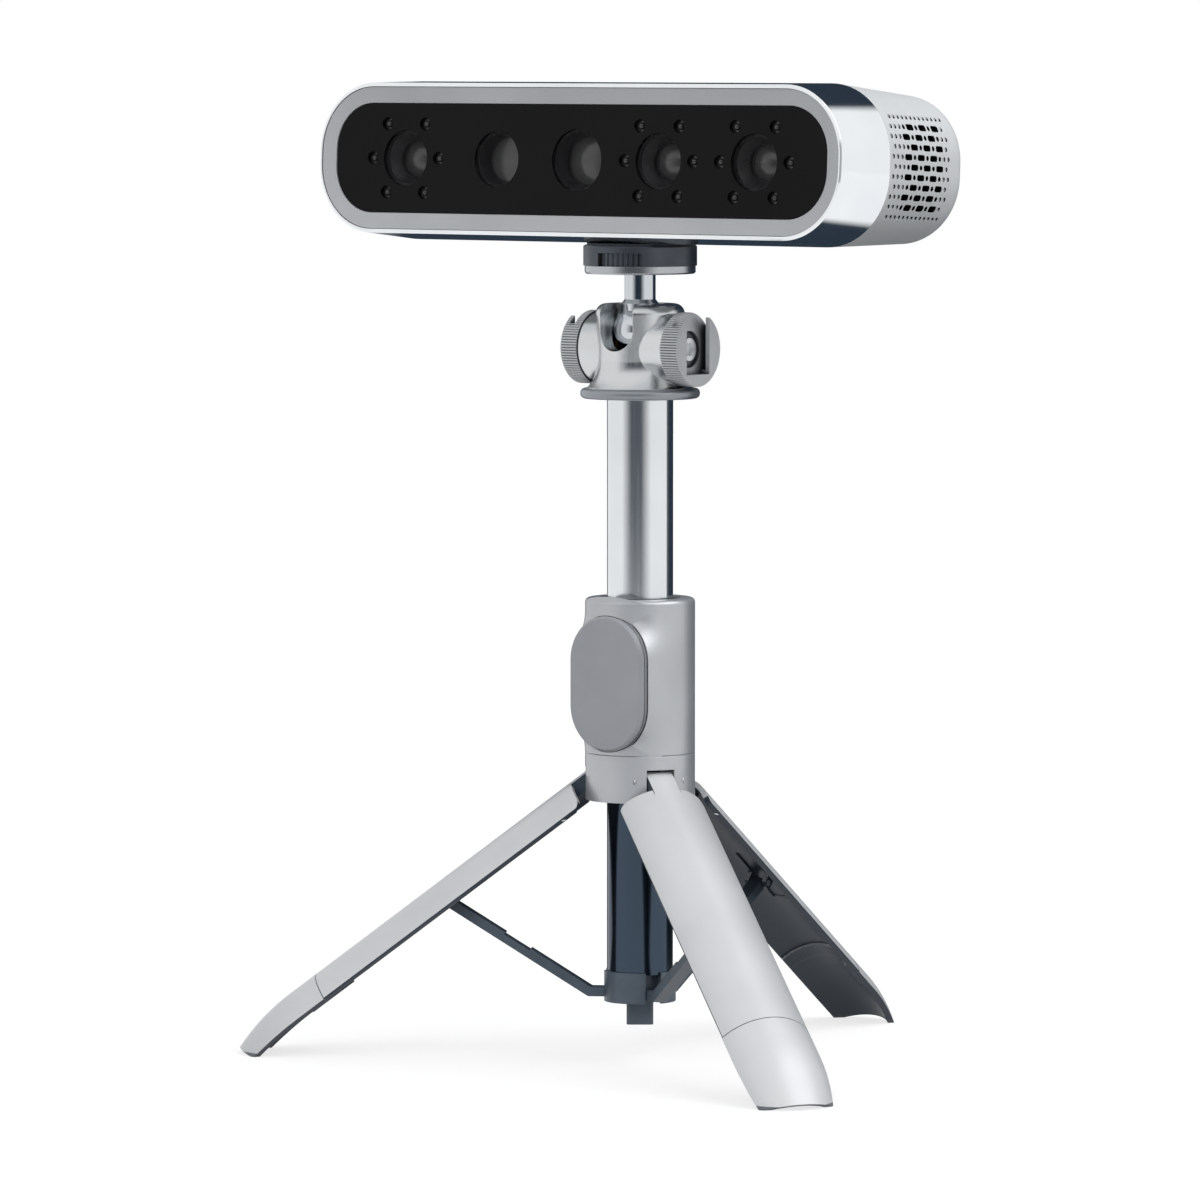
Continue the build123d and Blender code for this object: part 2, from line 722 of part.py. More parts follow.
with BuildPart() as ball_stem:
    with Locations((0, 0, ball_height)):
        Sphere(ball_radius)
    with BuildSketch(Plane.XZ):
        with BuildLine():
            neck_base = sqrt(ball_radius**2 - (neck_dia / 2)**2)
            cone_base = ball_height + neck_top - neck_cone
            Polyline((0, ball_height), (neck_dia / 2, ball_height + neck_base), (neck_dia / 2, cone_base),
                     (stem_dia / 2, ball_height + neck_top),
                     (stem_dia / 2, cup_base - flange_height - run_gap),
                     (flange_dia / 2, cup_base - flange_height - run_gap),
                     (flange_dia / 2, cup_base - run_gap), (0, cup_base - run_gap), close=True)
        make_face()
    revolve(axis=Axis.Z)
    with BuildSketch(Plane.XY.offset(plate_base)):
        Circle(screw_dia / 2 + run_gap)
    extrude(amount=plate_foot, mode=Mode.SUBTRACT)
keep("ball_stem", ball_stem.part)

for side_name, direction in {"right": 1, "left": -1}.items():
    knob_back = Plane(origin=(direction * (boss_reach + slack), 0, knob_height),
                      x_dir=(0, direction, 0), z_dir=(direction, 0, 0))
    shoe_floor = knob_depth - shoe_lip - shoe_depth
    with BuildPart() as knob:
        with BuildSketch(knob_back):
            Circle(knob_radius)
            with PolarLocations(knob_radius, knob_flutes):
                Rectangle(knob_flute, knob_flute, rotation=45, mode=Mode.SUBTRACT)
        extrude(amount=knob_depth)
        with BuildSketch(knob_back.offset(shoe_floor)):
            with Locations((0, (knob_radius - shoe_slot_below) / 2)):
                Rectangle(shoe_width, knob_radius + shoe_slot_below)
        extrude(amount=shoe_depth, mode=Mode.SUBTRACT)
        with BuildSketch(knob_back.offset(shoe_floor)):
            with Locations((0, (knob_radius - shoe_mouth_below) / 2)):
                Rectangle(shoe_mouth, knob_radius + shoe_mouth_below)
        extrude(amount=knob_depth, mode=Mode.SUBTRACT)
        with BuildSketch(knob_back.offset(shoe_floor - screw_recess)):
            Circle(screw_recess_dia / 2)
        extrude(amount=knob_depth, mode=Mode.SUBTRACT)
        with BuildSketch(knob_back):
            Circle(clamp_dia / 2)
        extrude(amount=knob_depth, mode=Mode.SUBTRACT)
    keep(side_name + "_knob", knob.part)
    with BuildPart() as knob_screw:
        head_base_place = shoe_floor - screw_recess
        with BuildSketch(knob_back.offset(head_base_place)):
            Circle(screw_head_dia / 2)
        extrude(amount=screw_head)
        with BuildSketch(knob_back.offset(head_base_place + screw_head - hex_depth)):
            RegularPolygon(hex_width / 2, 6, major_radius=False)
        extrude(amount=hex_depth, mode=Mode.SUBTRACT)
        with BuildSketch(knob_back.offset(head_base_place)):
            Circle(clamp_dia / 2 - seat_gap)
        extrude(amount=-(boss_reach + slack + head_base_place - clamp_pad_reach - seat_gap))
    keep(side_name + "_knob_screw", knob_screw.part)

# Plate that the scanner stands on, with the wheel that drives its screw
with BuildPart() as plate_foot_ring:
    with BuildSketch(Plane.XY.offset(plate_base)):
        Circle(plate_foot_dia / 2)
    extrude(amount=plate_foot)
    chamfer(plate_foot_ring.faces().sort_by(Axis.Z)[0].edges(), plate_edge)
    with BuildSketch(Plane.XY.offset(plate_base)):
        Circle(stem_dia / 2 + run_gap)
    extrude(amount=plate_foot, mode=Mode.SUBTRACT)
    with BuildSketch(Plane.XY.offset(cup_base - flange_height - 2 * run_gap)):
        Circle(flange_dia / 2 + run_gap)
    extrude(amount=plate_foot, mode=Mode.SUBTRACT)
keep("plate_foot", plate_foot_ring.part)

with BuildPart() as mount_plate:
    with BuildSketch(Plane.XY.offset(cup_base)):
        Circle(plate_radius)
    extrude(amount=plate_cup)
    chamfer(mount_plate.faces().sort_by(Axis.Z)[-1].edges(), plate_edge)
    with BuildSketch(Plane.XY.offset(cup_base)):
        Circle(plate_radius - plate_wall)
    extrude(amount=plate_cup - plate_web, mode=Mode.SUBTRACT)
    with BuildSketch(Plane.XY.offset(cup_base)):
        Circle(screw_dia / 2 + slack)
    extrude(amount=plate_cup, mode=Mode.SUBTRACT)
    with BuildSketch(radial_plane(wheel_window_turn - wheel_window / 2)):
        with Locations((plate_radius, cup_base + (plate_cup - plate_web) / 2)):
            Rectangle(plate_radius, plate_cup - plate_web)
    revolve(axis=Axis.Z, revolution_arc=wheel_window, mode=Mode.SUBTRACT)
keep("mount_plate", mount_plate.part)

with BuildPart() as thumb_wheel:
    with BuildSketch(Plane.XY.offset(cup_base + run_gap)):
        Circle(wheel_radius)
        with PolarLocations(wheel_radius, wheel_flutes):
            Rectangle(wheel_flute, wheel_flute, rotation=45, mode=Mode.SUBTRACT)
        Circle(screw_dia / 2 + seat_gap, mode=Mode.SUBTRACT)
    extrude(amount=plate_cup - plate_web - 2 * run_gap)
keep("thumb_wheel", thumb_wheel.part)

with BuildPart() as camera_screw:
    with BuildSketch(Plane.XY.offset(plate_base + run_gap)):
        Circle(screw_dia / 2)
    extrude(amount=pad_top + screw_reach - plate_base - run_gap)
    chamfer(camera_screw.faces().sort_by(Axis.Z)[-1].edges(), plate_edge)
keep("camera_screw", camera_screw.part)

with BuildPart() as plate_pad:
    with BuildSketch(Plane.XY.offset(cup_top)):
        Circle(plate_radius - pad_inset)
        Circle(screw_dia / 2 + slack, mode=Mode.SUBTRACT)
    extrude(amount=pad_height)
keep("plate_pad", plate_pad.part)

# Scanner: shells
back_shrink = 2 * back_taper
with BuildPart() as housing_hollow:
    with BuildSketch(scan.offset(seam_reach)):
        RectangleRounded(body_width - 2 * housing_wall, body_height - 2 * housing_wall,
                         body_round - housing_wall)
    with BuildSketch(scan.offset(-back_reach + housing_wall)):
        RectangleRounded(body_width - back_shrink - 2 * housing_wall,
                         body_height - back_shrink - 2 * housing_wall,
                         body_round - back_taper - housing_wall)
    loft(ruled=True)
    fillet(housing_hollow.faces().sort_by(Axis.Y)[-1].edges(), back_round - housing_wall)

with BuildPart() as rear_housing:
    with BuildSketch(scan.offset(seam_reach)):
        RectangleRounded(body_width, body_height, body_round)
    with BuildSketch(scan.offset(-back_reach)):
        RectangleRounded(body_width - back_shrink, body_height - back_shrink, body_round - back_taper)
    loft(ruled=True)
    fillet(rear_housing.faces().sort_by(Axis.Y)[-1].edges(), back_round)
    add(housing_hollow.part, mode=Mode.SUBTRACT)
    tongue_width = band_inner_width - 2 * bezel_gap
    tongue_height = band_inner_height - 2 * bezel_gap
    tongue_round = band_inner_round - bezel_gap
    with BuildSketch(scan.offset(seam_reach - tongue_length)):
        RectangleRounded(tongue_width, tongue_height, tongue_round)
        RectangleRounded(tongue_width - 2 * tongue_wall, tongue_height - 2 * tongue_wall,
                         tongue_round - tongue_wall, mode=Mode.SUBTRACT)
    extrude(amount=2 * tongue_length)
    for direction in (1, -1):
        vent_plane = Plane(origin=scan.from_local_coords((direction * body_width / 2, 0, vent_middle)),
                           x_dir=scan.z_dir, z_dir=(direction, 0, 0))
        with BuildSketch(vent_plane.offset(overrun)):
            rows = range(-(vent_rows // 2), vent_rows // 2 + 1)
            places = []
            for row in rows:
                stagger = vent_stagger * (2 * (row % 2) - 1)
                for column in range(vent_columns):
                    along = vent_spacing * (column - (vent_columns - 1) / 2) + stagger
                    places.append((along, vent_pitch * row))
            with Locations(*places):
                SlotOverall(vent_length, vent_width)
        extrude(amount=-vent_cut, mode=Mode.SUBTRACT)
    with BuildSketch(scan.offset(-back_reach)):
        with Locations((0, -socket_drop)):
            SlotOverall(socket_width + 2 * seat_gap, socket_height + 2 * seat_gap)
    extrude(amount=2 * housing_wall, both=True, mode=Mode.SUBTRACT)
    with BuildSketch(Plane.XY.offset(pad_top)):
        Circle(insert_dia / 2 + seat_gap)
    extrude(amount=insert_height, mode=Mode.SUBTRACT)
keep("rear_housing", rear_housing.part)

with BuildPart() as chrome_band:
    with BuildSketch(scan.offset(seam_reach)):
        RectangleRounded(body_width, body_height, body_round)
    with BuildSketch(scan.offset(front_reach - rim_edge)):
        RectangleRounded(rim_width, rim_height, rim_round)
    with BuildSketch(scan.offset(front_reach)):
        RectangleRounded(rim_width - 2 * rim_edge, rim_height - 2 * rim_edge, rim_round - rim_edge)
    loft(ruled=True)
    with BuildSketch(scan.offset(seam_reach)):
        RectangleRounded(band_inner_width, band_inner_height, band_inner_round)
    extrude(amount=front_reach - seam_reach, mode=Mode.SUBTRACT)
keep("chrome_band", chrome_band.part)

bezel_width = band_inner_width - 2 * bezel_gap
bezel_height = band_inner_height - 2 * bezel_gap
bezel_round = band_inner_round - bezel_gap
bezel_front = front_reach - bezel_inset
bezel_throat = bezel_front - bezel_slope
panel_front = bezel_throat - panel_inset
panel_back = panel_front - panel_thick
bracket_front = panel_back - bezel_ledge
with BuildPart() as front_bezel:
    with BuildSketch(scan.offset(bracket_front)):
        RectangleRounded(bezel_width, bezel_height, bezel_round)
    extrude(amount=bezel_front - bracket_front)
    with BuildSketch(scan.offset(bezel_throat)):
        RectangleRounded(panel_width, panel_height, panel_round)
    with BuildSketch(scan.offset(bezel_front)):
        RectangleRounded(bezel_width - 2 * bezel_gap, bezel_height - 2 * bezel_gap, bezel_round - bezel_gap)
    loft(ruled=True, mode=Mode.SUBTRACT)
    with BuildSketch(scan.offset(panel_back)):
        RectangleRounded(panel_width, panel_height, panel_round)
    extrude(amount=panel_thick + panel_inset, mode=Mode.SUBTRACT)
    with BuildSketch(scan.offset(bracket_front)):
        RectangleRounded(panel_width - 2 * ledge_width, panel_height - 2 * ledge_width,
                         panel_round - ledge_width)
    extrude(amount=bezel_ledge, mode=Mode.SUBTRACT)
    with BuildSketch(scan.offset(bracket_front)):
        with Locations((bracket_screw_reach, 0), (-bracket_screw_reach, 0)):
            Circle(bracket_screw_dia / 2 + seat_gap)
    extrude(amount=bracket_screw_grip, mode=Mode.SUBTRACT)
keep("front_bezel", front_bezel.part)


def window_size(place):
    return middle_window_dia if place == "middle" else window_dia


with BuildPart() as front_panel:
    with BuildSketch(scan.offset(panel_back)):
        RectangleRounded(panel_width - 2 * bezel_gap, panel_height - 2 * bezel_gap, panel_round - bezel_gap)
        for place, across in window_places.items():
            with Locations((across, 0)):
                Circle(window_size(place) / 2, mode=Mode.SUBTRACT)
        for place in ring_places:
            with Locations((window_places[place], 0)):
                with Locations(*[Vector(emitter_ring, 0).rotate(Axis.Z, turn) for turn in emitter_angles]):
                    Circle(emitter_dia / 2 + bezel_gap, mode=Mode.SUBTRACT)
    extrude(amount=panel_thick)
keep("front_panel", front_panel.part)

with BuildPart() as window_glasses:
    for place, across in window_places.items():
        with BuildSketch(scan.offset(panel_back)):
            with Locations((across, 0)):
                Circle(window_size(place) / 2 - seat_gap)
        extrude(amount=window_thick)
keep("window_glasses", window_glasses.part)

with BuildPart() as emitter_boards:
    for place in ring_places:
        with BuildSketch(scan.offset(bracket_front)):
            with Locations((window_places[place], 0)):
                Circle(board_dia / 2)
                Circle(window_size(place) / 2 + barrel_lip + slack, mode=Mode.SUBTRACT)
        extrude(amount=board_thick)
keep("emitter_boards", emitter_boards.part)

with BuildPart() as emitters:
    for place in ring_places:
        emitter_base = bracket_front + board_thick
        lamp_places = [Vector(emitter_ring, 0).rotate(Axis.Z, turn) for turn in emitter_angles]
        with BuildSketch(scan.offset(emitter_base)):
            with Locations((window_places[place], 0)):
                with Locations(*lamp_places):
                    Circle(emitter_dia / 2)
        extrude(amount=panel_back - emitter_base)
        for lamp in lamp_places:
            with Locations(scan.from_local_coords((window_places[place] + lamp.X, lamp.Y, panel_back))):
                Sphere(emitter_dome_dia / 2)
keep("emitters", emitters.part)

with BuildPart() as optical_bracket:
    with BuildSketch(scan.offset(bracket_front)):
        RectangleRounded(bracket_width, bracket_height, bracket_round)
        for place, across in window_places.items():
            with Locations((across, 0)):
                Circle(window_size(place) / 2 + seat_gap, mode=Mode.SUBTRACT)
        with Locations((bracket_screw_reach, 0), (-bracket_screw_reach, 0)):
            Circle(bracket_screw_dia / 2 + seat_gap, mode=Mode.SUBTRACT)
    extrude(amount=-bracket_thick)
keep("optical_bracket", optical_bracket.part)
bracket_back = bracket_front - bracket_thick

with BuildPart() as bracket_screws:
    screw_places = ((bracket_screw_reach, 0), (-bracket_screw_reach, 0))
    with BuildSketch(scan.offset(bracket_back)):
        with Locations(*screw_places):
            Circle(bracket_screw_head_dia / 2)
    extrude(amount=-bracket_screw_head)
    with BuildSketch(scan.offset(bracket_back)):
        with Locations(*screw_places):
            Circle(bracket_screw_dia / 2)
    extrude(amount=bracket_thick + bracket_screw_grip)
keep("bracket_screws", bracket_screws.part)

with BuildPart() as lens_barrels:
    for place, across in window_places.items():
        radius = window_size(place) / 2
        bore = lens_dias[place] / 2
        lens_front = panel_back - lens_depth
        axis = Axis(scan.from_local_coords((across, 0, 0)), scan.z_dir)
        half = Plane(origin=scan.from_local_coords((across, 0, 0)), x_dir=(1, 0, 0), z_dir=-scan.y_dir)
        with BuildSketch(half):
            with BuildLine():
                Polyline((radius + barrel_lip, panel_back), (radius + barrel_lip, bracket_front),
                         (radius, bracket_front), (radius, panel_back - barrel_length),
                         (bore - barrel_stop, panel_back - barrel_length),
                         (bore - barrel_stop, lens_front - lens_thick), (bore, lens_front - lens_thick),
                         (bore, lens_front - lens_crown), (bore + barrel_step, lens_front - lens_crown),
                         (bore + barrel_step, lens_front), (radius - barrel_wall, panel_back - barrel_step),
                         (radius - barrel_wall, panel_back), close=True)
            make_face()
        revolve(axis=axis)
keep("lens_barrels", lens_barrels.part)

with BuildPart() as lenses:
    for place, across in window_places.items():
        radius = lens_dias[place] / 2 - seat_gap
        axis = Axis(scan.from_local_coords((across, 0, 0)), scan.z_dir)
        half = Plane(origin=scan.from_local_coords((across, 0, 0)), x_dir=(1, 0, 0), z_dir=-scan.y_dir)
        lens_back = panel_back - lens_depth - lens_thick
        lens_edge = panel_back - lens_depth - lens_crown
        with BuildSketch(half):
            with BuildLine():
                top = lens_edge if place == flat_lens else lens_edge + lens_crown
                Polyline((0, top), (0, lens_back), (radius, lens_back), (radius, lens_edge))
                if place == flat_lens:
                    Line((radius, lens_edge), (0, top))
                else:
                    crown_radius = (radius**2 + lens_crown**2) / (2 * lens_crown)
                    RadiusArc((radius, lens_edge), (0, top), -crown_radius)
            make_face()
        revolve(axis=axis)
keep("lenses", lenses.part)

# Scanner: boards and what hangs on them
board_front = bracket_back - spacer_length
with BuildPart() as board_spacers:
    with BuildSketch(scan.offset(bracket_back)):
        with GridLocations(spacer_spread, spacer_rise, 2, 2):
            Circle(spacer_dia / 2)
    extrude(amount=-spacer_length)
keep("board_spacers", board_spacers.part)

with BuildPart() as main_board:
    with BuildSketch(scan.offset(board_front)):
        Rectangle(main_board_width, main_board_height)
    extrude(amount=-main_board_thick)
keep("main_board", main_board.part)

with BuildPart() as heat_sink:
    with BuildSketch(scan.offset(board_front - main_board_thick)):
        Rectangle(sink_width, sink_height)
    extrude(amount=-sink_base)
    with BuildSketch(scan.offset(board_front - main_board_thick - sink_base)):
        with GridLocations((sink_width - sink_fin_wall) / (sink_fins - 1), sink_height, sink_fins, 1):
            Rectangle(sink_fin_wall, sink_height)
    extrude(amount=-sink_fin)
keep("heat_sink", heat_sink.part)

with BuildPart() as data_socket:
    socket_plane = scan.offset(-back_reach)
    with BuildSketch(socket_plane):
        with Locations((0, -socket_drop)):
            SlotOverall(socket_width, socket_height)
    extrude(amount=socket_depth)
    with BuildSketch(socket_plane.offset(housing_wall)):
        with Locations((0, -socket_drop)):
            Rectangle(socket_width + 2 * socket_flange, socket_height + 2 * socket_flange)
    extrude(amount=socket_depth - housing_wall)
    with BuildSketch(socket_plane):
        with Locations((0, -socket_drop)):
            SlotOverall(socket_width - 2 * socket_wall, socket_height - 2 * socket_wall)
    extrude(amount=socket_depth - socket_flange / 2, mode=Mode.SUBTRACT)
    with BuildSketch(socket_plane.offset(socket_wall)):
        with Locations((0, -socket_drop)):
            Rectangle(socket_width * socket_tongue_share, socket_tongue)
    extrude(amount=socket_depth - socket_wall)
keep("data_socket", data_socket.part)

with BuildPart() as mount_insert:
    with BuildSketch(Plane.XY.offset(pad_top)):
        Circle(insert_dia / 2)
        Circle(screw_dia / 2 + run_gap, mode=Mode.SUBTRACT)
    extrude(amount=insert_height)
keep("mount_insert", mount_insert.part)

# The origin goes under the middle of the footprint
footprint = Compound(children=[solid.moved(Location()) for solid in pieces.values()])
footprint_box = footprint.bounding_box()
column_back = -(footprint_box.min.Y + footprint_box.max.Y) / 2
os.makedirs("parts", exist_ok=True)
for name, solid in pieces.items():
    placed = solid.moved(Location((0, column_back, 0)))
    placed.label = name
    export_step(placed, "parts/" + name + ".step")
print("column axis at y", round(column_back, 3), "of the footprint's middle")
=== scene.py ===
import bpy
import bmesh
import json
from math import atan2, cos, hypot, pi, radians, sin
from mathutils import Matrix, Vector
from mathutils.bvhtree import BVHTree
from mathutils.interpolate import poly_3d_calc


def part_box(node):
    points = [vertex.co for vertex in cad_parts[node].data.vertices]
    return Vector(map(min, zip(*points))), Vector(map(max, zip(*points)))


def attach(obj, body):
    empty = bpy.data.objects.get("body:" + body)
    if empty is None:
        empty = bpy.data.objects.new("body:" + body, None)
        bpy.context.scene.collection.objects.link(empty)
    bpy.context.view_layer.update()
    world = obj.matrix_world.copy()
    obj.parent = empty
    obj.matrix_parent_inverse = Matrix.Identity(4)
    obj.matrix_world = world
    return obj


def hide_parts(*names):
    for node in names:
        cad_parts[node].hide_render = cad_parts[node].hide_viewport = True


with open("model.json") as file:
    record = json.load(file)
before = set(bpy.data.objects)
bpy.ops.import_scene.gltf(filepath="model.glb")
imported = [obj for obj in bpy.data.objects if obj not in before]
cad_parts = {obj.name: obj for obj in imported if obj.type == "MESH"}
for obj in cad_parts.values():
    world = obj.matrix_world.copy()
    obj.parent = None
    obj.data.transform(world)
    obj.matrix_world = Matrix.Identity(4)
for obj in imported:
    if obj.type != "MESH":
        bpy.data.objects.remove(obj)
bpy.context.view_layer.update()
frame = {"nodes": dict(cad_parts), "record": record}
columnLow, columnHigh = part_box("column_tube")
# The column's axis, about which the legs, the camera and the studio are set out
axisY = (columnLow.y + columnHigh.y) / 2
print("frame loaded,", len(frame["nodes"]), "nodes")


def linear(hexColour):  # sRGB hex to linear RGBA
    parts = [int(hexColour[i:i + 2], 16) / 255 for i in (1, 3, 5)]
    return [c / 12.92 if c <= 0.04045 else ((c + 0.055) / 1.055) ** 2.4 for c in parts] + [1.0]


def addNode(tree, kind, inputs=None, **settings):  # one node, its settings and its links
    node = tree.nodes.new(kind)
    for name, value in settings.items():
        setattr(node, name, value)
    for name, value in (inputs or {}).items():
        if isinstance(value, bpy.types.NodeSocket):
            tree.links.new(value, node.inputs[name])
        else:
            node.inputs[name].default_value = value
    return node


# What all the finishes share: where a tone blends, how deep grain and lines are, how far gloss varies
surfaceSet = {"blendFrom": 0.3, "blendTo": 0.7, "grainDepth": 0.00004, "lineDepth": 0.00002,
              "glossSpread": 0.05, "lineGloss": (0.75, 1.3), "hazeGloss": 0.03, "metalCloudMm": 25.0,
              "hazeMm": 6.0, "recessFrom": 0.35, "recessTo": 0.85}


def perMetre(millimetres):  # texture scale for features of this size
    return 1000.0 / millimetres


def emptyMaterial(name):
    material = bpy.data.materials.new(name)
    material.use_nodes = True
    material.node_tree.nodes.clear()
    return material, material.node_tree


def startMaterial(name):
    material, tree = emptyMaterial(name)
    shader = addNode(tree, "ShaderNodeBsdfPrincipled")
    addNode(tree, "ShaderNodeOutputMaterial", {"Surface": shader.outputs[0]})
    place = addNode(tree, "ShaderNodeTexCoord").outputs["Object"]
    return material, tree, shader, place


def blendColours(tree, factor, dark, light):
    ramp = addNode(tree, "ShaderNodeValToRGB", {"Fac": factor})
    ramp.color_ramp.elements[0].position = surfaceSet["blendFrom"]
    ramp.color_ramp.elements[0].color = linear(dark)
    ramp.color_ramp.elements[1].position = surfaceSet["blendTo"]
    ramp.color_ramp.elements[1].color = linear(light)
    return ramp.outputs["Color"]


def mixColours(tree, factor, plain, patterned, target):
    mixed = addNode(tree, "ShaderNodeMix", data_type="RGBA")
    tree.links.new(factor, mixed.inputs["Factor"])
    colours = [socket for socket in mixed.inputs if socket.type == "RGBA"]
    colours[0].default_value = linear(plain)
    tree.links.new(patterned, colours[1])
    tree.links.new(next(s for s in mixed.outputs if s.type == "RGBA"), target)


def shadeRecess(tree, shader, look):  # shade that gathers in hollows about as wide as each of these sizes
    for size in look.get("recessMm", ()):
        exposed = addNode(tree, "ShaderNodeAmbientOcclusion", {"Distance": size / 1000}, samples=8)
        clear = addNode(tree, "ShaderNodeMapRange", {
            "Value": exposed.outputs["AO"], "From Min": surfaceSet["recessFrom"],
            "From Max": surfaceSet["recessTo"]})
        surface = shader.inputs["Base Color"].links[0].from_socket
        mixColours(tree, clear.outputs["Result"], look["recessShade"], surface, shader.inputs["Base Color"])


# Moulded or painted surfaces: a faint cloud of tone, a fine spark-eroded or sprayed grain, softened edges
def grainSurface(look):
    material, tree, shader, place = startMaterial(look["name"])
    cloud = addNode(tree, "ShaderNodeTexNoise", {
        "Vector": place, "Scale": perMetre(look["cloudMm"]), "Detail": 3.0})
    grain = addNode(tree, "ShaderNodeTexNoise", {
        "Vector": place, "Scale": perMetre(look["grainMm"]), "Detail": 2.0})
    tone = blendColours(tree, cloud.outputs["Fac"], look["dark"], look["light"])
    tree.links.new(tone, shader.inputs["Base Color"])
    rough = addNode(tree, "ShaderNodeMapRange", {
        "Value": grain.outputs["Fac"], "To Min": look["roughness"] - surfaceSet["glossSpread"],
        "To Max": look["roughness"] + surfaceSet["glossSpread"]})
    tree.links.new(rough.outputs["Result"], shader.inputs["Roughness"])
    edge = addNode(tree, "ShaderNodeBevel", {"Radius": look.get("edgeMm", 0.25) / 1000}, samples=4)
    bump = addNode(tree, "ShaderNodeBump", {
        "Height": grain.outputs["Fac"], "Strength": look["bump"], "Distance": surfaceSet["grainDepth"],
        "Normal": edge.outputs["Normal"]})
    tree.links.new(bump.outputs["Normal"], shader.inputs["Normal"])
    shader.inputs["Metallic"].default_value = look.get("metallic", 0.0)
    shader.inputs["IOR"].default_value = look.get("ior", 1.5)
    shader.inputs["Specular IOR Level"].default_value = look.get("specular", 0.5)
    shader.inputs["Coat Weight"].default_value = look.get("coat", 0.0)
    shader.inputs["Coat Roughness"].default_value = look.get("coatRoughness", 0.1)
    shadeRecess(tree, shader, look)
    return material


# A leg's lacquer is on its outer face and upper end. Faces turned inside and along the edges get painted
# shade in dark slate, and a fine dark line marks where the foot cap is pushed on.
def legSurface(look):
    material = grainSurface(look)
    tree = material.node_tree
    shader = next(n for n in tree.nodes if n.type == "BSDF_PRINCIPLED")
    lacquer = shader.inputs["Base Color"].links[0].from_socket
    facing = addNode(tree, "ShaderNodeTexCoord").outputs["Normal"]
    outward = addNode(tree, "ShaderNodeVectorMath", {0: facing, 1: look["outward"]}, operation="DOT_PRODUCT")
    outside = addNode(tree, "ShaderNodeMath", {0: outward.outputs["Value"], 1: look["paintedShadeBelow"]},
                      operation="GREATER_THAN")
    mixColours(tree, outside.outputs[0], look["inside"], lacquer, shader.inputs["Base Color"])
    place = addNode(tree, "ShaderNodeTexCoord").outputs["Object"]
    along = addNode(tree, "ShaderNodeVectorMath", {0: place, 1: look["along"]}, operation="DOT_PRODUCT")
    past = addNode(tree, "ShaderNodeMath", {0: along.outputs["Value"], 1: look["seamAt"]},
                   operation="SUBTRACT")
    away = addNode(tree, "ShaderNodeMath", {0: past.outputs[0]}, operation="ABSOLUTE")
    clear = addNode(tree, "ShaderNodeMath", {0: away.outputs[0], 1: look["seamMm"] / 2000},
                    operation="GREATER_THAN")
    painted = shader.inputs["Base Color"].links[0].from_socket
    mixColours(tree, clear.outputs[0], look["seam"], painted, shader.inputs["Base Color"])
    return material


# Bare metal: turned, drawn or brushed lines along one axis, with a slow change of gloss
def linedMetal(look):
    material, tree, shader, place = startMaterial(look["name"])
    fine, along = perMetre(look["lineMm"]), perMetre(look["lengthMm"])
    scale = [along if axis == look["axis"] else fine for axis in "XYZ"]
    stretch = addNode(tree, "ShaderNodeMapping", {"Vector": place, "Scale": scale})
    lines = addNode(tree, "ShaderNodeTexNoise", {
        "Vector": stretch.outputs["Vector"], "Scale": 1.0, "Detail": 4.0})
    cloud = addNode(tree, "ShaderNodeTexNoise", {
        "Vector": place, "Scale": perMetre(surfaceSet["metalCloudMm"]), "Detail": 2.0})
    tone = blendColours(tree, cloud.outputs["Fac"], look["dark"], look["light"])
    tree.links.new(tone, shader.inputs["Base Color"])
    least, most = surfaceSet["lineGloss"]
    rough = addNode(tree, "ShaderNodeMapRange", {
        "Value": lines.outputs["Fac"], "To Min": look["roughness"] * least,
        "To Max": look["roughness"] * most})
    tree.links.new(rough.outputs["Result"], shader.inputs["Roughness"])
    edge = addNode(tree, "ShaderNodeBevel", {"Radius": look.get("edgeMm", 0.2) / 1000}, samples=4)
    bump = addNode(tree, "ShaderNodeBump", {
        "Height": lines.outputs["Fac"], "Strength": look["bump"], "Distance": surfaceSet["lineDepth"],
        "Normal": edge.outputs["Normal"]})
    tree.links.new(bump.outputs["Normal"], shader.inputs["Normal"])
    shader.inputs["Metallic"].default_value = 1.0
    shadeRecess(tree, shader, look)
    return material


# The tube's lower stretch has a painted dark reflection in slate, the upper one is polished
def paintedReflectionTube(look):
    material = linedMetal(look)
    tree = material.node_tree
    shader = next(n for n in tree.nodes if n.type == "BSDF_PRINCIPLED")
    polished = shader.inputs["Base Color"].links[0].from_socket
    place = addNode(tree, "ShaderNodeTexCoord").outputs["Object"]
    height = addNode(tree, "ShaderNodeSeparateXYZ", {"Vector": place}).outputs["Z"]
    upper = addNode(tree, "ShaderNodeMath", {0: height, 1: look["change"]}, operation="GREATER_THAN")
    mixColours(tree, upper.outputs[0], look["low"], polished, shader.inputs["Base Color"])
    return material


# Clear parts: coated glass, moulded epoxy
def clearSurface(look):
    material, tree, shader, place = startMaterial(look["name"])
    haze = addNode(tree, "ShaderNodeTexNoise", {
        "Vector": place, "Scale": perMetre(surfaceSet["hazeMm"]), "Detail": 2.0})
    tone = blendColours(tree, haze.outputs["Fac"], look["dark"], look["light"])
    tree.links.new(tone, shader.inputs["Base Color"])
    rough = addNode(tree, "ShaderNodeMapRange", {
        "Value": haze.outputs["Fac"], "To Min": look["roughness"],
        "To Max": look["roughness"] + surfaceSet["hazeGloss"]})
    tree.links.new(rough.outputs["Result"], shader.inputs["Roughness"])
    shader.inputs["Transmission Weight"].default_value = look["clear"]
    shader.inputs["Specular IOR Level"].default_value = look.get("specular", 0.5)
    shader.inputs["Alpha"].default_value = look.get("opacity", 1.0)
    shader.inputs["IOR"].default_value = look["ior"]
    shader.inputs["Coat Weight"].default_value = look.get("coat", 0.0)
    return material


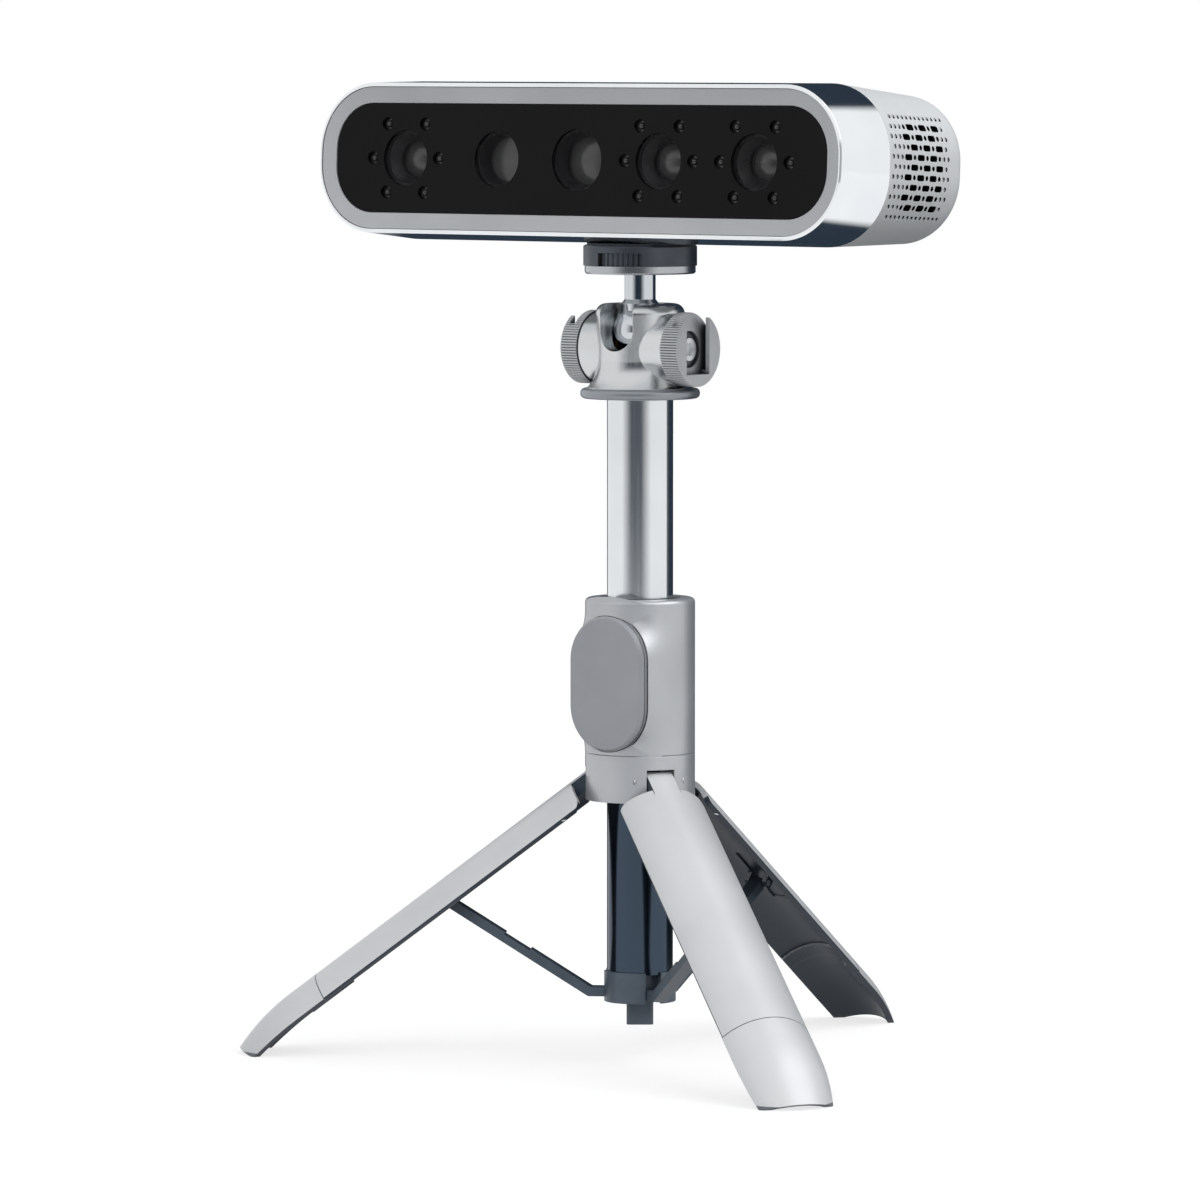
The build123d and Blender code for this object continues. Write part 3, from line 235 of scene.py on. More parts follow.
# Silver lacquer over moulded nylon, on the legs; drawn tube, polished along its length and chromed
legLook = {"dark": "#c3c4c6", "light": "#cbcccd", "cloudMm": 30, "grainMm": 0.22, "roughness": 0.40,
           "bump": 0.15, "metallic": 0.15}
tubeLook = {"dark": "#d6d9dc", "light": "#e0e3e5", "axis": "Z", "lineMm": 0.35, "lengthMm": 40, "bump": 0.0}

finishes = {
    # Polycarbonate-ABS, moulded with a fine spark-eroded grain: even pale grey, soft broad highlight
    "bezel_grey": grainSurface({
        "name": "mouldedAbsBezel", "dark": "#afb0b2", "light": "#b8b9bb", "cloudMm": 30,
        "grainMm": 0.30, "roughness": 0.42, "bump": 0.25}),
    "housing_grey": grainSurface({
        "name": "mouldedAbsHousing", "dark": "#cfd1d2", "light": "#d6d8d8", "cloudMm": 35,
        "grainMm": 0.30, "roughness": 0.45, "bump": 0.25}),
    # Dyed acrylic sheet, polished: near black, sharp faint mirror
    "panel_black": grainSurface({
        "name": "polishedAcrylicPanel", "dark": "#0b0b0c", "light": "#0f0f10", "cloudMm": 40,
        "grainMm": 1.5, "roughness": 0.12, "bump": 0.0, "ior": 1.49, "specular": 0.1, "edgeMm": 0.1}),
    # Optical glass with a dark band-pass coating: a smoky pane, the lens shows dimly through it
    "window_glass": clearSurface({
        "name": "coatedWindowGlass", "dark": "#1d1d1f", "light": "#232325", "roughness": 0.02,
        "clear": 0.0, "ior": 1.45, "opacity": 0.12, "specular": 0.15}),
    "lens_glass": clearSurface({
        "name": "coatedLensGlass", "dark": "#464646", "light": "#505050", "roughness": 0.22,
        "clear": 0.0, "ior": 1.6, "coat": 0.5}),
    # Smoky epoxy lamp, cast: dark and glossy with a pale die under the dome
    "emitter_white": clearSurface({
        "name": "castEpoxyEmitter", "dark": "#2c2b2d", "light": "#3a393b", "roughness": 0.08,
        "clear": 0.25, "ior": 1.55}),
    # Glass-epoxy board with solder mask: satin green
    "board_green": grainSurface({
        "name": "solderMaskBoard", "dark": "#123b24", "light": "#18482c", "cloudMm": 12,
        "grainMm": 0.5, "roughness": 0.4, "bump": 0.2}),
    # Die-cast band, polished and chromed: a clear mirror with a little orange peel
    "band_chrome": linedMetal({
        "name": "polishedChromeBand", "dark": "#e4e7ea", "light": "#ebeef0", "axis": "X",
        "lineMm": 1.2, "lengthMm": 30, "roughness": 0.10, "bump": 0.01, "edgeMm": 0.15}),
    "barrel_black": grainSurface({
        "name": "anodisedBarrelBlack", "dark": "#121214", "light": "#19191b", "cloudMm": 10,
        "grainMm": 0.4, "roughness": 0.5, "bump": 0.2}),
    "bracket_alu": linedMetal({
        "name": "milledAluminium", "dark": "#a9abad", "light": "#b8babc", "axis": "X",
        "lineMm": 0.3, "lengthMm": 15, "roughness": 0.35, "bump": 0.15}),
    "steel": linedMetal({
        "name": "turnedSteel", "dark": "#d0d2d4", "light": "#dcdee0", "axis": "X", "lineMm": 0.25,
        "lengthMm": 6, "roughness": 0.3, "bump": 0.08}),
    "brass": linedMetal({
        "name": "turnedBrass", "dark": "#b08d4a", "light": "#c39f58", "axis": "Z", "lineMm": 0.25,
        "lengthMm": 6, "roughness": 0.28, "bump": 0.1}),
    # Aluminium cup, bead-blasted and anodised dark grey
    "plate_dark": grainSurface({
        "name": "anodisedPlateDark", "dark": "#4b5056", "light": "#555a61", "cloudMm": 14,
        "grainMm": 0.25, "roughness": 0.38, "bump": 0.3, "metallic": 0.85}),
    "plate_bright": linedMetal({
        "name": "turnedPlateRing", "dark": "#acafb3", "light": "#b9bcbf", "axis": "Z",
        "lineMm": 0.2, "lengthMm": 0.3, "roughness": 0.24, "bump": 0.1}),
    # Nitrile pad, moulded matt
    "pad_rubber": grainSurface({
        "name": "mouldedRubberPad", "dark": "#3c4147", "light": "#454a51", "cloudMm": 8,
        "grainMm": 0.6, "roughness": 0.75, "bump": 0.6}),
    # Steel ball stud, polished and chromed
    "ball_chrome": linedMetal({
        "name": "chromedBallStud", "dark": "#c0c5ca", "light": "#cdd1d5", "axis": "Z",
        "lineMm": 0.8, "lengthMm": 20, "roughness": 0.10, "bump": 0.02}),
    # Zinc housing, die-cast, polished and satin chromed: soft mirror
    "head_chrome": linedMetal({
        "name": "satinChromeHead", "dark": "#c8cacc", "light": "#d2d4d5", "axis": "Z",
        "lineMm": 0.6, "lengthMm": 12, "roughness": 0.24, "bump": 0.0, "edgeMm": 0.4}),
    "ring_grey": grainSurface({
        "name": "satinRingGrey", "dark": "#8d9196", "light": "#989ca1", "cloudMm": 15,
        "grainMm": 0.3, "roughness": 0.33, "bump": 0.15, "metallic": 0.6}),
    # Aluminium knob, turned and clear anodised: pale satin, with painted shade in its hollows
    "knob_silver": grainSurface({
        "name": "anodisedKnobSilver", "dark": "#c2c4c6", "light": "#cccecf", "cloudMm": 9,
        "grainMm": 0.25, "roughness": 0.36, "bump": 0.2, "metallic": 0.35, "recessMm": (4.5, 0.7),
        "recessShade": "#36393e"}),
    "nylon": grainSurface({
        "name": "mouldedNylon", "dark": "#1e1f21", "light": "#27282a", "cloudMm": 8, "grainMm": 0.4,
        "roughness": 0.55, "bump": 0.3}),
    "tube_steel": linedMetal({"name": "drawnTubePolished", **tubeLook, "roughness": 0.2}),
    # Silver lacquer over moulded nylon: fine flake, broad satin highlight
    "grip_silver": grainSurface({
        "name": "lacqueredGripSilver", "dark": "#b3b5b8", "light": "#bcbec1", "cloudMm": 22,
        "grainMm": 0.22, "roughness": 0.34, "bump": 0.15, "metallic": 0.5}),
    "remote_grey": grainSurface({
        "name": "lacqueredRemoteGrey", "dark": "#94969b", "light": "#9d9fa4", "cloudMm": 20,
        "grainMm": 0.22, "roughness": 0.34, "bump": 0.12, "metallic": 0.25}),
    "leg_silver": grainSurface({"name": "lacqueredLegSilver", **legLook}),
    "sole_rubber": grainSurface({
        "name": "mouldedSoleRubber", "dark": "#5d6167", "light": "#676b71", "cloudMm": 8,
        "grainMm": 0.5, "roughness": 0.7, "bump": 0.5}),
    # Pressed steel, powder coated slate
    "strut_dark": grainSurface({
        "name": "powderCoatSlate", "dark": "#434e5a", "light": "#4d5863", "cloudMm": 9,
        "grainMm": 0.35, "roughness": 0.4, "bump": 0.3, "metallic": 0.2}),
    "collar_dark": grainSurface({
        "name": "mouldedCollarSlate", "dark": "#4a5560", "light": "#55606b", "cloudMm": 9,
        "grainMm": 0.3, "roughness": 0.36, "bump": 0.2, "metallic": 0.2}),
}
for subpart in frame["record"]["subparts"]:
    part = frame["nodes"][subpart["node"]]
    part.data.materials.clear()
    part.data.materials.append(finishes[subpart["material_slot"]])
legs = {"right": -30, "rear": 90, "left": 210}
legSet = {"hingeRadius": 0.0148, "hingeHeight": 0.0944, "open": 52.7, "seam": 0.116, "paintedShadeLean": 26,
          "paintedShadeBelow": 0.2}
for side, turn in legs.items():
    swing, heading = radians(legSet["open"]), radians(turn)
    faced = swing + radians(legSet["paintedShadeLean"])
    outward = (cos(heading) * cos(faced), sin(heading) * cos(faced), sin(faced))
    along = Vector((cos(heading) * sin(swing), sin(heading) * sin(swing), -cos(swing)))
    hinge = Vector((legSet["hingeRadius"] * cos(heading), axisY + legSet["hingeRadius"] * sin(heading),
                    legSet["hingeHeight"]))
    # The inside colour is painted shade on faces turned away from outward and up
    finish = legSurface({
        "name": "lacqueredLeg" + side.capitalize(), **legLook, "inside": "#2a3440", "outward": outward,
        "paintedShadeBelow": legSet["paintedShadeBelow"], "along": along, "seam": "#4c5056", "seamMm": 0.35,
        "seamAt": hinge.dot(along) + legSet["seam"]})
    for piece in ("_leg", "_foot_cap"):
        frame["nodes"][side + piece].data.materials[0] = finish
# The low colour is a painted dark reflection on the tube below the change height
frame["nodes"]["column_tube"].data.materials[0] = paintedReflectionTube({
    "name": "drawnTubeTwoTone", **tubeLook, "roughness": 0.16, "low": "#3f4a57", "change": 0.15})
# The pins' ends are lacquered over with the hub
frame["nodes"]["hinge_pins"].data.materials[0] = finishes["grip_silver"]
print("finishes on every node")

# Painted shade: matt near-black inside the housing and on the walls of the grille's holes and dimples
shadeLining = grainSurface({
    "name": "sprayedLiningPaint", "dark": "#0d0e10", "light": "#141517", "cloudMm": 6, "grainMm": 0.4,
    "roughness": 0.8, "bump": 0.2, "specular": 0.1})

# The rear housing's grille: larger slots over the CAD ones, round holes between, blind dimples round them
grille = {"lean": 2.8, "middleHeight": 0.298, "middleDepth": -0.010, "rowPitch": 0.00325, "stagger": 0.0019,
          "slotPitch": 0.0076, "slotLength": 0.0043, "slotHeight": 0.002, "slotRound": 0.0008,
          "dimplePitch": 0.0026, "holeRadius": 0.00082, "dimpleRadius": 0.00075,
          "holeLength": 0.014, "dimpleLength": 0.001, "endDimples": 13,
          "drillSides": 16, "standOff": 0.002, "reach": 0.03, "smoothBelow": 35}
mergeDistance = 1e-6
shading = {"inset": 1e-5, "likeness": 0.9}  # where a corner looks for the CAD surface, how alike both face


def grillePoints():  # for each point: along the depth, up, and its kind
    points = []
    pitch, small = grille["slotPitch"], grille["dimplePitch"]
    for row in range(-4, 5):
        front = row % 2 == 1
        centre = grille["stagger"] if front else -grille["stagger"]
        points += [(centre + pitch * i, row, "slot") for i in (-1, 0, 1)]
        between = [centre + pitch / 2, centre - pitch / 2, centre + (-1.5 if front else 1.5) * pitch]
        points += [(along, row, "hole") for along in between]
        if front:
            ahead = [centre + pitch * 1.5 + small * i for i in range(3)]
            behind = [centre - pitch * 1.5 - small * (i + 1) for i in range(2)]
        else:
            ahead = [centre + pitch * 1.5 + small * (i + 1) for i in range(3)]
            behind = [centre - pitch * 1.5 - small * 0.1]
        points += [(along, row, "dimple") for along in ahead + behind]
    for row in (-5, 5):
        reach = small * (grille["endDimples"] - 1) / 2
        points += [(reach - small * i, row, "dimple") for i in range(grille["endDimples"])]
    return points


def grilleTree():
    tree = bpy.data.node_groups.new("grilleCut", "GeometryNodeTree")
    kinds = {"Shell": "Geometry", "Pattern": "Object", "Drill": "Object", "Reach": "Float",
             "Middle": "Vector", "Finish": "Material", "PaintedShade": "Material"}
    for name, kind in kinds.items():
        tree.interface.new_socket(name, in_out="INPUT", socket_type="NodeSocket" + kind)
    tree.interface.new_socket("Cut", in_out="OUTPUT", socket_type="NodeSocketGeometry")
    given = addNode(tree, "NodeGroupInput").outputs
    pattern = addNode(tree, "GeometryNodeObjectInfo", {"Object": given["Pattern"]})
    drill = addNode(tree, "GeometryNodeObjectInfo", {"Object": given["Drill"]})
    aim = addNode(tree, "GeometryNodeInputNamedAttribute", {"Name": "aim"}, data_type="FLOAT_VECTOR")
    size = addNode(tree, "GeometryNodeInputNamedAttribute", {"Name": "size"}, data_type="FLOAT_VECTOR")
    ray = addNode(tree, "GeometryNodeRaycast", {
        "Target Geometry": given["Shell"], "Ray Direction": aim.outputs[0], "Ray Length": given["Reach"]})
    landed = addNode(tree, "GeometryNodeSetPosition", {
        "Geometry": pattern.outputs["Geometry"], "Selection": ray.outputs["Is Hit"],
        "Position": ray.outputs["Hit Position"]})
    drills = addNode(tree, "GeometryNodeInstanceOnPoints", {
        "Points": landed.outputs[0], "Instance": drill.outputs["Geometry"], "Scale": size.outputs[0]})
    solid = addNode(tree, "GeometryNodeRealizeInstances", {"Geometry": drills.outputs[0]})
    cut = addNode(tree, "GeometryNodeMeshBoolean", operation="DIFFERENCE", solver="EXACT")
    tree.links.new(given["Shell"], cut.inputs["Mesh 1"])
    tree.links.new(solid.outputs[0], cut.inputs["Mesh 2"])
    # Faces turned in towards the middle, and the drills' side walls, get the painted shade
    place = addNode(tree, "GeometryNodeInputPosition").outputs[0]
    facing = addNode(tree, "GeometryNodeInputNormal").outputs[0]
    spoke = addNode(tree, "ShaderNodeVectorMath", {0: place, 1: given["Middle"]}, operation="SUBTRACT")
    turned = addNode(tree, "ShaderNodeVectorMath", {0: spoke.outputs[0], 1: facing},
                     operation="DOT_PRODUCT")
    inner = addNode(tree, "FunctionNodeCompare", {"A": turned.outputs["Value"], "B": 0.0},
                    operation="LESS_THAN")
    walls = addNode(tree, "GeometryNodeInputNamedAttribute", {"Name": "lining"}, data_type="BOOLEAN")
    hidden = addNode(tree, "FunctionNodeBooleanMath", {0: inner.outputs[0], 1: walls.outputs[0]},
                     operation="OR")
    whole = addNode(tree, "GeometryNodeRealizeInstances", {"Geometry": cut.outputs[0]})
    painted = addNode(tree, "GeometryNodeSetMaterial", {
        "Geometry": whole.outputs[0], "Material": given["Finish"]})
    paintedShadeSet = addNode(tree, "GeometryNodeSetMaterial", {
        "Geometry": painted.outputs[0], "Selection": hidden.outputs[0], "Material": given["PaintedShade"]})
    addNode(tree, "NodeGroupOutput", {"Cut": paintedShadeSet.outputs[0]})
    return tree


def linkObject(name, data):
    holder = bpy.data.objects.new(name, data)
    bpy.context.scene.collection.objects.link(holder)
    return holder


def pointMesh(name, points):
    mesh = bpy.data.meshes.new(name)
    mesh.from_pydata([p["place"] for p in points], [], [])
    for key in ("aim", "size"):
        layer = mesh.attributes.new(key, "FLOAT_VECTOR", "POINT")
        for item, point in zip(layer.data, points):
            item.vector = point[key]
    return linkObject(name, mesh)


# A prism one metre long, scaled to length at each point, its side walls marked for the painted shade
def drillMesh(name, outline):
    count = len(outline)
    corners = [Vector((x, 0, 0)) + place for x in (-0.5, 0.5) for place in outline]
    sides = [(i, (i + 1) % count, count + (i + 1) % count, count + i) for i in range(count)]
    mesh = bpy.data.meshes.new(name)
    mesh.from_pydata(corners, [], sides + [tuple(range(count))[::-1], tuple(range(count, 2 * count))])
    layer = mesh.attributes.new("lining", "BOOLEAN", "FACE")
    for i in range(count):
        layer.data[i].value = True
    shape = bmesh.new()
    shape.from_mesh(mesh)
    bmesh.ops.recalc_face_normals(shape, faces=shape.faces)
    shape.to_mesh(mesh)
    shape.free()
    return linkObject(name, mesh)


def makePlain(piece, name):  # the evaluated shape as a plain mesh, the modifiers gone
    shape = bpy.data.meshes.new_from_object(piece.evaluated_get(bpy.context.evaluated_depsgraph_get()))
    piece.modifiers.clear()
    piece.data = shape
    shape.name = name


def smoothBelow(piece, angle):
    piece.data.shade_smooth()
    piece.data.set_sharp_from_angle(angle=radians(angle))


def mergedCopy(node, name):  # a CAD node's loose triangles joined up in a copy
    mesh = frame["nodes"][node].data.copy()
    for layer in ("custom_normal", "sharp_face", "sharp_edge"):  # these fit the loose triangles only
        if layer in mesh.attributes:
            mesh.attributes.remove(mesh.attributes[layer])
    shape = bmesh.new()
    shape.from_mesh(mesh)
    bmesh.ops.remove_doubles(shape, verts=shape.verts, dist=mergeDistance)
    shape.to_mesh(mesh)
    shape.free()
    mesh.name = name
    return linkObject(name, mesh)


def borrowNormals(piece, source):  # keeps the CAD surface's shading round the new holes
    mesh, given = piece.data, source.data
    corners = [vertex.co for vertex in given.vertices]
    surface = BVHTree.FromPolygons(corners, [face.vertices for face in given.polygons])
    normals = []
    for polygon in mesh.polygons:
        for vertex in polygon.vertices:
            corner = mesh.vertices[vertex].co
            inside = corner + (polygon.center - corner).normalized() * shading["inset"]
            place, facing, index, away = surface.find_nearest(inside)
            normal = polygon.normal
            if facing.dot(normal) > shading["likeness"]:
                face = given.polygons[index]
                shares = poly_3d_calc([corners[i] for i in face.vertices], place)
                found = [given.corner_normals[i].vector * share
                         for i, share in zip(face.loop_indices, shares)]
                normal = sum(found, Vector()).normalized()
            normals.append(normal)
    mesh.normals_split_custom_set(normals)


def cutGrille():
    lean = radians(grille["lean"])
    out, up = Vector((0, -cos(lean), sin(lean))), Vector((0, sin(lean), cos(lean)))
    low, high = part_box("rear_housing")
    middle = Vector((0, axisY, grille["middleHeight"])) + out * grille["middleDepth"]
    sizes = {"slot": (2 * grille["holeLength"], 1, 1),
             "hole": (grille["holeLength"], grille["holeRadius"], grille["holeRadius"]),
             "dimple": (grille["dimpleLength"], grille["dimpleRadius"], grille["dimpleRadius"])}
    points = {"slot": [], "round": []}
    for along, row, kind in grillePoints():
        place = middle + out * along + up * row * grille["rowPitch"]
        for side in (1, -1):
            if kind == "slot":  # the CAD slot is open here, so the drill stays where it is put
                place.x = side * high.x
                points["slot"].append({"place": place.copy(), "aim": (side, 0, 0), "size": sizes[kind]})
            else:
                place.x = side * (high.x + grille["standOff"])
                points["round"].append({"place": place.copy(), "aim": (-side, 0, 0), "size": sizes[kind]})
    turns = [2 * pi * i / grille["drillSides"] for i in range(grille["drillSides"])]
    circle = [out * cos(turn) + up * sin(turn) for turn in turns]
    flatLength = grille["slotLength"] / 2 - grille["slotRound"]
    flatHeight = grille["slotHeight"] / 2 - grille["slotRound"]
    slot = []
    for i in range(grille["drillSides"]):
        turn = 2 * pi * (i + 0.5) / grille["drillSides"]
        across = (1 if cos(turn) > 0 else -1) * flatLength + cos(turn) * grille["slotRound"]
        rise = (1 if sin(turn) > 0 else -1) * flatHeight + sin(turn) * grille["slotRound"]
        slot.append(out * across + up * rise)
    shell = mergedCopy("rear_housing", "grilleHousing")
    tree = grilleTree()
    helpers = []
    for kind, outline in (("slot", slot), ("round", circle)):
        pattern, drill = pointMesh(kind + "Pattern", points[kind]), drillMesh(kind + "Drill", outline)
        helpers += [pattern, drill]
        modifier = shell.modifiers.new(kind, "NODES")
        modifier.node_group = tree
        values = {"Pattern": pattern, "Drill": drill, "Reach": grille["reach"], "Middle": (low + high) / 2,
                  "Finish": finishes["housing_grey"], "PaintedShade": shadeLining}
        for item in tree.interface.items_tree:
            if item.in_out == "INPUT" and item.name in values:
                modifier[item.identifier] = values[item.name]
        makePlain(shell, "grilleHousing")
    for helper in helpers:
        bpy.data.objects.remove(helper)
    smoothBelow(shell, grille["smoothBelow"])
    borrowNormals(shell, frame["nodes"]["rear_housing"])
    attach(shell, "head")
    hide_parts("rear_housing")
    print("grille cut,", len(points["slot"]) + len(points["round"]), "openings")


cutGrille()

# The legs' shoulders: each shell carried up beside its tab to just under the hub, drawn folded and swung open
shoulder = {"outer": 0.01829, "wall": 0.0018, "tab": 0.00465, "inside": 0.0049, "halfChord": 0.01509,
            "start": 0.0075, "corner": 0.0022, "shellStart": 0.0128, "shellInner": 0.00475,
            "shellOuter": 0.0054, "lap": 0.0003, "across": 18, "along": 4, "smoothBelow": 30}


def shoulderEdges(lateral):  # from the hinge down to the new edge, and down into the CAD shell
    give = shoulder["halfChord"] - shoulder["corner"]
    top = shoulder["start"]
    if lateral > give:
        top += shoulder["corner"] - (max(shoulder["corner"] ** 2 - (lateral - give) ** 2, 0)) ** 0.5
    inner, outer, start = shoulder["shellInner"], shoulder["shellOuter"], shoulder["shellStart"]
    tab = shoulder["tab"]
    low = start
    if lateral < tab + inner:
        low = start - inner + (inner ** 2 - (lateral - tab - inner) ** 2) ** 0.5
    if lateral > shoulder["halfChord"] - outer:
        low = start + outer - (max(outer ** 2 - (lateral - shoulder["halfChord"] + outer) ** 2, 0)) ** 0.5
    return top, max(low, top) + shoulder["lap"]


def legPlace(radial, lateral, drop, turn):
    swing, heading = radians(legSet["open"]), radians(turn)
    away = radial - legSet["hingeRadius"]
    out = legSet["hingeRadius"] + away * cos(swing) + drop * sin(swing)
    height = legSet["hingeHeight"] + away * sin(swing) - drop * cos(swing)
    x = out * cos(heading) - lateral * sin(heading)
    y = axisY + out * sin(heading) + lateral * cos(heading)
    return (x, y, height)


def buildGrid(shape, front, back):  # a closed plate between two grids of points
    rows, columns = len(front), len(front[0])
    sheets = [[[shape.verts.new(place) for place in row] for row in sheet] for sheet in (front, back)]
    for i in range(rows - 1):
        for j in range(columns - 1):
            for sheet in sheets:
                shape.faces.new((sheet[i][j], sheet[i + 1][j], sheet[i + 1][j + 1], sheet[i][j + 1]))
    rim = [(i, 0) for i in range(rows)] + [(rows - 1, j) for j in range(1, columns)]
    rim += [(i, columns - 1) for i in range(rows - 2, -1, -1)] + [(0, j) for j in range(columns - 2, 0, -1)]
    for (i, j), (k, m) in zip(rim, rim[1:] + rim[:1]):
        shape.faces.new((sheets[0][i][j], sheets[0][k][m], sheets[1][k][m], sheets[1][i][j]))


def carryShoulders(side, turn):
    across, along = shoulder["across"], shoulder["along"]
    spread = shoulder["halfChord"] - shoulder["inside"]
    shape = bmesh.new()
    for hand in (1, -1):
        grids = []
        for radius in (shoulder["outer"], shoulder["outer"] - shoulder["wall"]):
            grid = []
            for i in range(across + 1):
                lateral = shoulder["inside"] + spread * sin(i / across * pi / 2)
                top, low = shoulderEdges(lateral)
                share = radius / shoulder["outer"]  # the sides are cut towards the column's axis
                radial = share * (shoulder["outer"] ** 2 - lateral ** 2) ** 0.5
                grid.append([legPlace(radial, hand * lateral * share, top + (low - top) * j / along, turn)
                             for j in range(along + 1)])
            grids.append(grid)
        buildGrid(shape, *grids)
    bmesh.ops.recalc_face_normals(shape, faces=shape.faces)
    mesh = bpy.data.meshes.new(side + "Shoulders")
    shape.to_mesh(mesh)
    shape.free()
    added = linkObject(side + "Shoulders", mesh)
    mesh.materials.append(frame["nodes"][side + "_leg"].data.materials[0])
    smoothBelow(added, shoulder["smoothBelow"])
    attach(added, side + "_leg")


for side, turn in legs.items():
    carryShoulders(side, turn)
print("leg shoulders carried up")

# The cradle's flare: a hollow sweep from the remote's pocket out to the round of the grip
cradle = {"halfWidth": 0.0154, "straight": 0.0075, "front": 0.016, "middle": 0.1266, "radius": 0.0183,
          "sweep": 44, "rise": 0.006, "sunk": 0.0006, "halfSteps": 40, "layerSteps": 12, "smoothBelow": 50}


def addFlare():
    half, steps = cradle["halfSteps"], cradle["layerSteps"]
    shape = bmesh.new()
    rings = []
    for end in (1, -1):
        for i in range(half + 1):
            angle = pi * i / half if end == 1 else pi + pi * i / half
            x = cradle["halfWidth"] * cos(angle)
            z = end * cradle["straight"] + cradle["halfWidth"] * sin(angle)
            turn, reach = atan2(x, cradle["front"]), hypot(x, cradle["front"])
            behind = (cradle["radius"] ** 2 - x ** 2) ** 0.5
            ring = [(x, axisY - min(cradle["front"], behind) + cradle["sunk"], cradle["middle"] + z)]
            for layer in ("outer", "inner"):
                order = range(steps + 1) if layer == "outer" else range(steps, 0, -1)
                for j in order:
                    share = j / steps
                    radius = cradle["radius"] + (reach - cradle["radius"]) * (1 - share) ** 2
                    if layer == "inner":
                        radius = min(radius, cradle["radius"]) - cradle["sunk"]
                    heading = turn + radians(cradle["sweep"]) * cos(angle) * share
                    height = cradle["middle"] + z + cradle["rise"] * sin(angle) * share
                    ring.append((radius * sin(heading), axisY - radius * cos(heading), height))
            rings.append([shape.verts.new(place) for place in ring])
    for ring, following in zip(rings, rings[1:] + rings[:1]):
        for j in range(len(ring)):
            k = (j + 1) % len(ring)
            shape.faces.new((ring[j], ring[k], following[k], following[j]))
    bmesh.ops.recalc_face_normals(shape, faces=shape.faces)
    mesh = bpy.data.meshes.new("cradleFlare")
    shape.to_mesh(mesh)
    shape.free()
    flare = linkObject("cradleFlare", mesh)
    mesh.materials.append(finishes["grip_silver"])
    smoothBelow(flare, cradle["smoothBelow"])
    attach(flare, "grip")


addFlare()
print("cradle flared")

# Camera
view = {"turn": 37.5, "distance": 2.55, "height": 0.3405, "aim": 0.1534, "side": -0.0133, "lens": 231.0,
        "sensor": 36.0, "clipEnd": 50.0}
towards = Vector((sin(radians(view["turn"])), -cos(radians(view["turn"])), 0))
across = Vector((cos(radians(view["turn"])), sin(radians(view["turn"])), 0))
middle = Vector((0, axisY, 0))

camera = linkObject("camera", bpy.data.cameras.new("camera"))
camera.data.lens = view["lens"]
camera.data.sensor_width = view["sensor"]
camera.data.clip_end = view["clipEnd"]
besides = middle + across * view["side"]
camera.location = besides + towards * view["distance"] + Vector((0, 0, view["height"]))
aim = besides + Vector((0, 0, view["aim"]))
camera.rotation_euler = (aim - camera.location).to_track_quat("-Z", "Y").to_euler()
bpy.context.scene.camera = camera

# Studio: pale floor, white surround, soft lamps, and two dark flags that give bright metal its dark lines
studio = {"floorRadius": 4.0, "floorSegments": 96, "floorTone": 0.28, "floorGlow": 0.75, "ambient": "#e9eef4",
          "ambientStrength": 0.42, "whiteStrength": 1.0, "flagColour": "#2c3744", "flagSteps": 24}
flags = {  # turn and width in degrees round the column, from the camera's side; soft and fade are shares
    "backFlag": {"turn": 158, "width": 112, "distance": 0.22, "low": 0.0, "high": 0.6,
                 "soft": 0.1, "fade": 0.12},
    "cameraFlag": {"turn": -14, "width": 100, "distance": 1.6, "low": 0.0, "high": 0.9,
                   "soft": 0.32, "fade": 0.3},
}


def stagePiece(name, build, material):
    mesh = bpy.data.meshes.new(name)
    shape = bmesh.new()
    build(shape)
    shape.to_mesh(mesh)
    shape.free()
    piece = linkObject(name, mesh)
    mesh.materials.append(material)
    return piece


def backgroundRays(tree):  # the rays that see the white surround: the camera's, metal's and glass's
    rays = addNode(tree, "ShaderNodeLightPath").outputs
    seen = addNode(tree, "ShaderNodeMath", {0: rays["Is Camera Ray"], 1: rays["Is Glossy Ray"]},
                   operation="MAXIMUM")
    seen = addNode(tree, "ShaderNodeMath", {0: seen.outputs[0], 1: rays["Is Transmission Ray"]},
                   operation="MAXIMUM")
    return seen.outputs[0]


def floorMaterial():
    material, tree = emptyMaterial("paleFloor")
    paint = addNode(tree, "ShaderNodeBsdfDiffuse", {"Color": [studio["floorTone"]] * 3 + [1]})
    glow = addNode(tree, "ShaderNodeMath", {0: backgroundRays(tree), 1: studio["floorGlow"]},
                   operation="MULTIPLY")
    light = addNode(tree, "ShaderNodeEmission", {"Strength": glow.outputs[0]})
    both = addNode(tree, "ShaderNodeAddShader", {0: paint.outputs[0], 1: light.outputs[0]})
    addNode(tree, "ShaderNodeOutputMaterial", {"Surface": both.outputs[0]})
    return material


